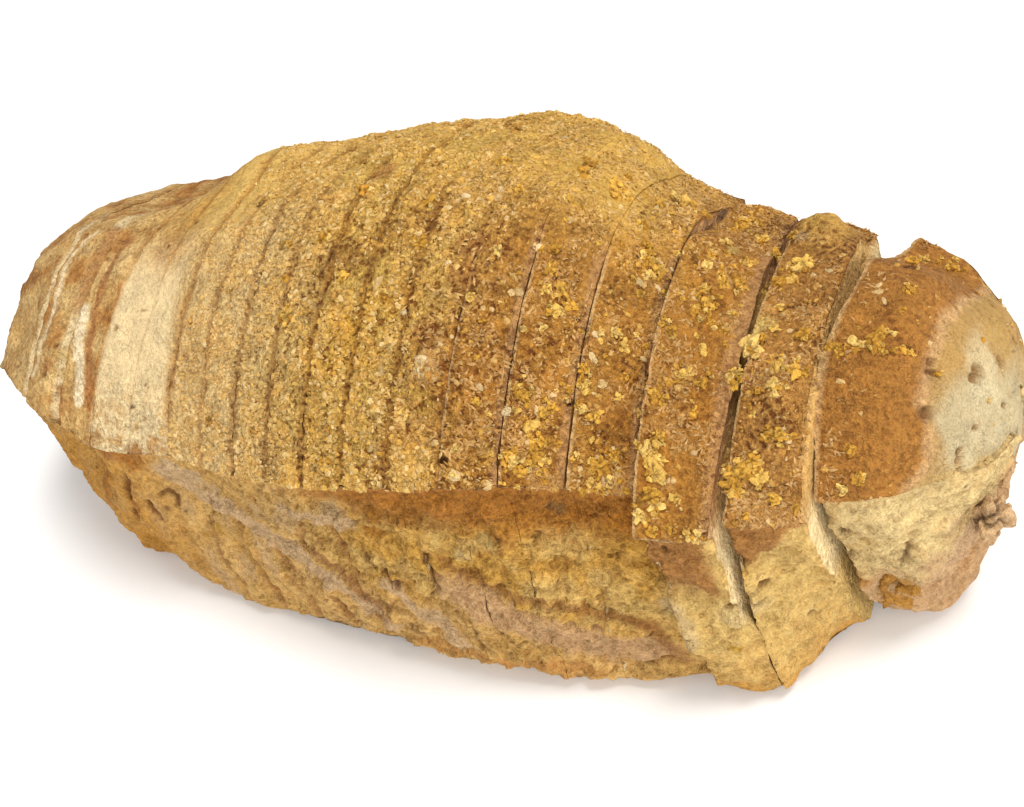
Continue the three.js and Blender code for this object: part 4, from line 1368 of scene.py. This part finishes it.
# ---- corn crumbs: those of the solids, those that the picture shows and small bits about them ----
CORN_LUMPS = (  # across and down in the picture, and half width in mm
    (671, 333, 1.5), (699, 293, 1.5), (706, 304, 1.6), (696, 311, 1.4), (701, 382, 1.3), (688, 374, 1),
    (680, 374, 1.2), (655, 396, 1.7), (659, 436, 1.3), (645, 448, 1.3), (652, 463, 1.6), (656, 472, 1.5),
    (650, 494, 1.7), (656, 505, 1.4), (641, 516, 1.5), (668, 528, 0.8), (751, 347, 2), (778, 367, 1.6),
    (795, 372, 1.5), (774, 386, 1.7), (803, 334, 1.4), (770, 436, 1.4), (779, 434, 1.3), (791, 437, 1),
    (729, 457, 1.4), (736, 472, 1.8), (727, 468, 1.3), (759, 476, 1.7), (755, 465, 1.3), (734, 488, 1.8),
    (741, 494, 1), (779, 283, 1.6), (792, 280, 1.6), (803, 265, 1.9), (797, 270, 1.3), (763, 296, 1.5),
    (763, 240, 1.5), (776, 253, 1.3), (793, 235, 0.9), (739, 228, 1.6), (745, 222, 1.3), (758, 221, 1.3),
    (733, 231, 1), (711, 256, 1.2), (706, 266, 1.2), (749, 263, 1.3), (740, 284, 1.4), (723, 283, 1.2),
    (711, 323, 0.9), (724, 331, 0.8), (728, 243, 1.2), (735, 372, 1.3), (742, 380, 1.5), (733, 384, 1.1),
    (683, 203, 1.9), (704, 214, 1.2), (643, 226, 1.3), (643, 256, 1.4), (652, 262, 1.3), (658, 272, 1.4),
    (647, 275, 1.2), (590, 166, 1.9), (583, 172, 1.4), (619, 187, 1.8), (626, 196, 1.5), (614, 194, 1.2),
    (562, 290, 1.7), (555, 312, 1.3), (569, 305, 1.2), (550, 269, 1.2), (514, 461, 1.6), (534, 453, 1.7),
    (508, 454, 1.2), (519, 470, 1.3), (540, 440, 1.5), (531, 426, 1.5), (524, 396, 1.4), (552, 406, 1.3),
    (543, 460, 1.3), (517, 390, 1.1), (599, 465, 1.9), (614, 455, 1.1), (589, 482, 0.8), (583, 369, 1.4),
    (584, 385, 1.4), (583, 410, 1.3), (615, 333, 1.3), (879, 337, 1.9), (875, 345, 1.5), (836, 347, 1.5),
    (949, 266, 1.5), (956, 270, 1), (924, 260, 1.1), (909, 290, 1.2), (858, 480, 1), (902, 349, 0.7),
    (911, 353, 0.7), (849, 450, 1), (286, 314, 1.4), (323, 239, 1.6), (366, 190, 1.6), (427, 204, 1.5),
    (421, 243, 1.5), (384, 299, 1.2), (345, 277, 1.2), (290, 243, 1), (404, 412, 1.2), (502, 163, 1.7),
)
SEED_FLAKES = (  # across, down, half width: pale flakes on the crown
    (410, 172, 1), (467, 196, 1.1), (448, 263, 0.9), (404, 312, 0.9), (378, 282, 1.3), (497, 197, 1.2),
    (383, 196, 0.9), (539, 247, 1.1), (519, 292, 1.1), (500, 189, 1), (565, 138, 1), (634, 149, 1.1),
    (639, 282, 1), (596, 335, 0.9), (593, 358, 0.9), (602, 384, 1.1), (480, 387, 0.9), (506, 412, 1.3),
    (539, 411, 1.3), (456, 475, 1.6), (371, 448, 1), (382, 372, 1.1), (421, 358, 1.2), (433, 377, 1.2),
    (672, 270, 0.7), (658, 288, 0.9), (813, 275, 0.8), (829, 271, 0.9), (840, 381, 0.8), (884, 301, 0.7),
    (879, 285, 1), (878, 292, 1), (643, 225, 0.8), (570, 220, 0.9), (788, 440, 0.8), (782, 430, 0.7),
    (613, 452, 0.9), (553, 395, 0.7),
)
CORN_COLORS = [(222, 170, 70), (208, 154, 56), (230, 184, 90), (198, 144, 52), (234, 194, 108)]
CORN_DULL = [(206, 158, 80), (192, 144, 68), (214, 170, 98)]
FLAKE_COLORS = [(232, 202, 150), (222, 190, 134), (212, 176, 116)]
HEAP = 6  # small bits heaped about each corn lump


def placed_at(entries):
    """Points, normals and half widths of things on the finished slices at places in the picture."""
    found = []
    for across, down, size in entries:
        seen = seen_at(across, down, finished)
        if seen:
            found.append((seen[1], seen[2], np.full(3, size)))
    return [np.array(column) for column in zip(*found)]


# the rule by which the solids carry their crumbs
CRUMBS = {6: 2, 7: 2, 8: 3, 9: 4, 10: 4, 11: 5, 12: 7, 13: 9, 14: 11, 15: 10, 16: 10, 17: 11, 18: 6}
CRUMB_MAX, CRUMB_MIN = 2.6, 1.3
CRUMB_CLEARANCE = 0.5
CRUMB_INSET = 0.4
CRUMB_ARC = (0.06, 0.68)
CRUMB_TRIES = 400
HEEL_CRUMBS_END = 217
CRUMB_SEED = 4127


def park_miller(seed):
    """The solids' own random numbers, from 0 to 1."""
    state = seed
    while True:
        state = state * 16807 % 2147483647
        yield state / 2147483647


def crumbs_of(n):
    """Places and half widths of the crumbs on slice n's solid, by the solid's rule."""
    total = CRUMBS.get(n, 0)
    draw = park_miller(CRUMB_SEED + 97 * n)
    start, end = slice_range(n)
    end = min(end, HEEL_CRUMBS_END)
    placed = []
    for _ in range(CRUMB_TRIES):
        if len(placed) == total:
            break
        size = CRUMB_MAX - (CRUMB_MAX - CRUMB_MIN) * len(placed) / total
        margin = size + CRUMB_INSET
        x = start + margin + next(draw) * (end - start - 2 * margin)
        across = CRUMB_ARC[0] + (CRUMB_ARC[1] - CRUMB_ARC[0]) * next(draw)
        point, normal = crown_frame(x, across)
        room = size + CRUMB_CLEARANCE
        if all(np.linalg.norm(point - other) > room + taken for other, _, taken, _ in placed):
            placed.append((point, normal, size, 0.75 + 0.25 * next(draw)))
    return placed


lumps = []
places, normals, sizes = placed_at(CORN_LUMPS)
about = random.normal(0, 0.75, (len(places), HEAP, 3)) * sizes[:, None, :]
about -= (about * normals[:, None]).sum(axis=-1, keepdims=True) * normals[:, None]
heaped = (places[:, None] + about).reshape(-1, 3)
small = np.repeat(sizes, HEAP, axis=0) * random.uniform(0.3, 0.6, (len(heaped), 1))
tones = picked(CORN_COLORS, len(heaped))
lumps.append(crumpled(1, heaped, np.repeat(normals, HEAP, axis=0), small, tones))
sizes = sizes * random.uniform(0.75, 1.2, sizes.shape)
sizes[:, 2] *= 0.7
lumps.append(crumpled(2, places, normals, sizes, picked(CORN_COLORS, len(places))))
for number in CRUMBS:
    for point, normal, size, spread in crumbs_of(number):
        half = 0.55 * size * np.array([[spread, 0.9, 0.75]])
        palette = CORN_COLORS if number > 12 else CORN_DULL
        lumps.append(crumpled(2, stand(number, point[None]), normal[None], half, picked(palette, 1)))


def bit_weight(n, p, across):
    """Chance that a small bit of corn lies at a place on the crown."""
    there = 0.25 * ramp(p[..., 0], 76, 100) + 0.75 * ramp(p[..., 0], 126, 150)
    clusters = ramp(layered(p, 6, 151), 0.0, 0.5) + 0.6 * spot_weight(n, p, THICK_SPOTS)
    return there * clusters * (0.15 if n == SLICES else 1.0) * ramp(across, 0.72, 0.62)


places, normals, under = crown_draw(170, bit_weight)
sizes = random.uniform(0.45, 0.95, (len(places), 1)) * random.uniform(0.7, 1.2, (len(places), 3))
lumps.append(crumpled(1, places, normals, sizes, picked(CORN_COLORS, len(places))))
joined("corn_crumbs", lumps, meal_material)

places, normals, sizes = placed_at(SEED_FLAKES)
sizes = sizes * random.uniform(0.75, 1.15, sizes.shape) * np.array([1.0, 0.7, 0.32])
tones = picked(FLAKE_COLORS, len(places))
joined("seed_flakes", [bits(BALLS[1], places, normals, sizes, tones, 0.32)], meal_material)

KNOBS = (  # torn crust on the last slice: place, half sizes and colour
    ((227.5, -18, 33), (3.9, 4.2, 5.0), (206, 168, 122)),
    ((210, -27, 18), (4.0, 4.2, 8.0), (184, 132, 54)),
)
UPWARD = np.array([[0.0, 0.0, 1.0]])
knobs = []
for place, half, color in KNOBS:
    centre = stand(SLICES, np.array(place, float)[None])
    knobs.append(crumpled(3, centre, UPWARD, np.array([half]), linear(color)[None]))
joined("crust_knobs", knobs, crust_material, True)

# ---- camera, floor and light ----
camera = bpy.data.objects.new("camera", bpy.data.cameras.new("camera"))
camera.data.sensor_width = 36.0
camera.data.lens = FOCAL_PIXELS / IMAGE_WIDTH * camera.data.sensor_width
turn = Matrix((CAMERA_RIGHT, CAMERA_UP, CAMERA_BACK)).transposed().to_4x4()
camera.matrix_world = Matrix.Translation((CAMERA_AT - Vector(ORIGIN)) * MM) @ turn
camera.data.clip_start = 0.01
bpy.context.collection.objects.link(camera)
bpy.context.scene.camera = camera

floor_material = bpy.data.materials.new("floor")
floor_material.use_nodes = True
floor_inputs = floor_material.node_tree.nodes["Principled BSDF"].inputs
floor_inputs["Base Color"].default_value = (0.92, 0.92, 0.92, 1)
floor_inputs["Roughness"].default_value = 0.9
bpy.ops.mesh.primitive_plane_add(size=6, location=(0, 0, -0.0002))
floor = bpy.context.object
floor.name = "floor"
floor.data.materials.append(floor_material)

for name, place, size, power, color in (
    ("key", (0.3, 0.1, 1.1), 0.45, 10.0, (1.0, 0.98, 0.95)),
    ("fill", (0.5, -1.1, 0.55), 1.0, 8.0, (1.0, 0.99, 0.97)),
    ("side", (1.3, -0.1, 0.5), 0.8, 6.0, (1.0, 0.99, 0.97)),
):
    light = bpy.data.lights.new(name, "AREA")
    light.shape = "DISK"
    light.size = size
    light.energy = power
    light.color = color
    holder = bpy.data.objects.new(name, light)
    holder.location = place
    holder.rotation_mode = "QUATERNION"
    holder.rotation_quaternion = (-Vector(place)).to_track_quat("-Z", "Y")
    bpy.context.collection.objects.link(holder)

world = bpy.data.worlds.new("studio")
world.use_nodes = True
world.node_tree.nodes["Background"].inputs["Color"].default_value = (1, 1, 1, 1)
world.node_tree.nodes["Background"].inputs["Strength"].default_value = 0.54
bpy.context.scene.world = world
bpy.context.scene.view_settings.view_transform = "Standard"
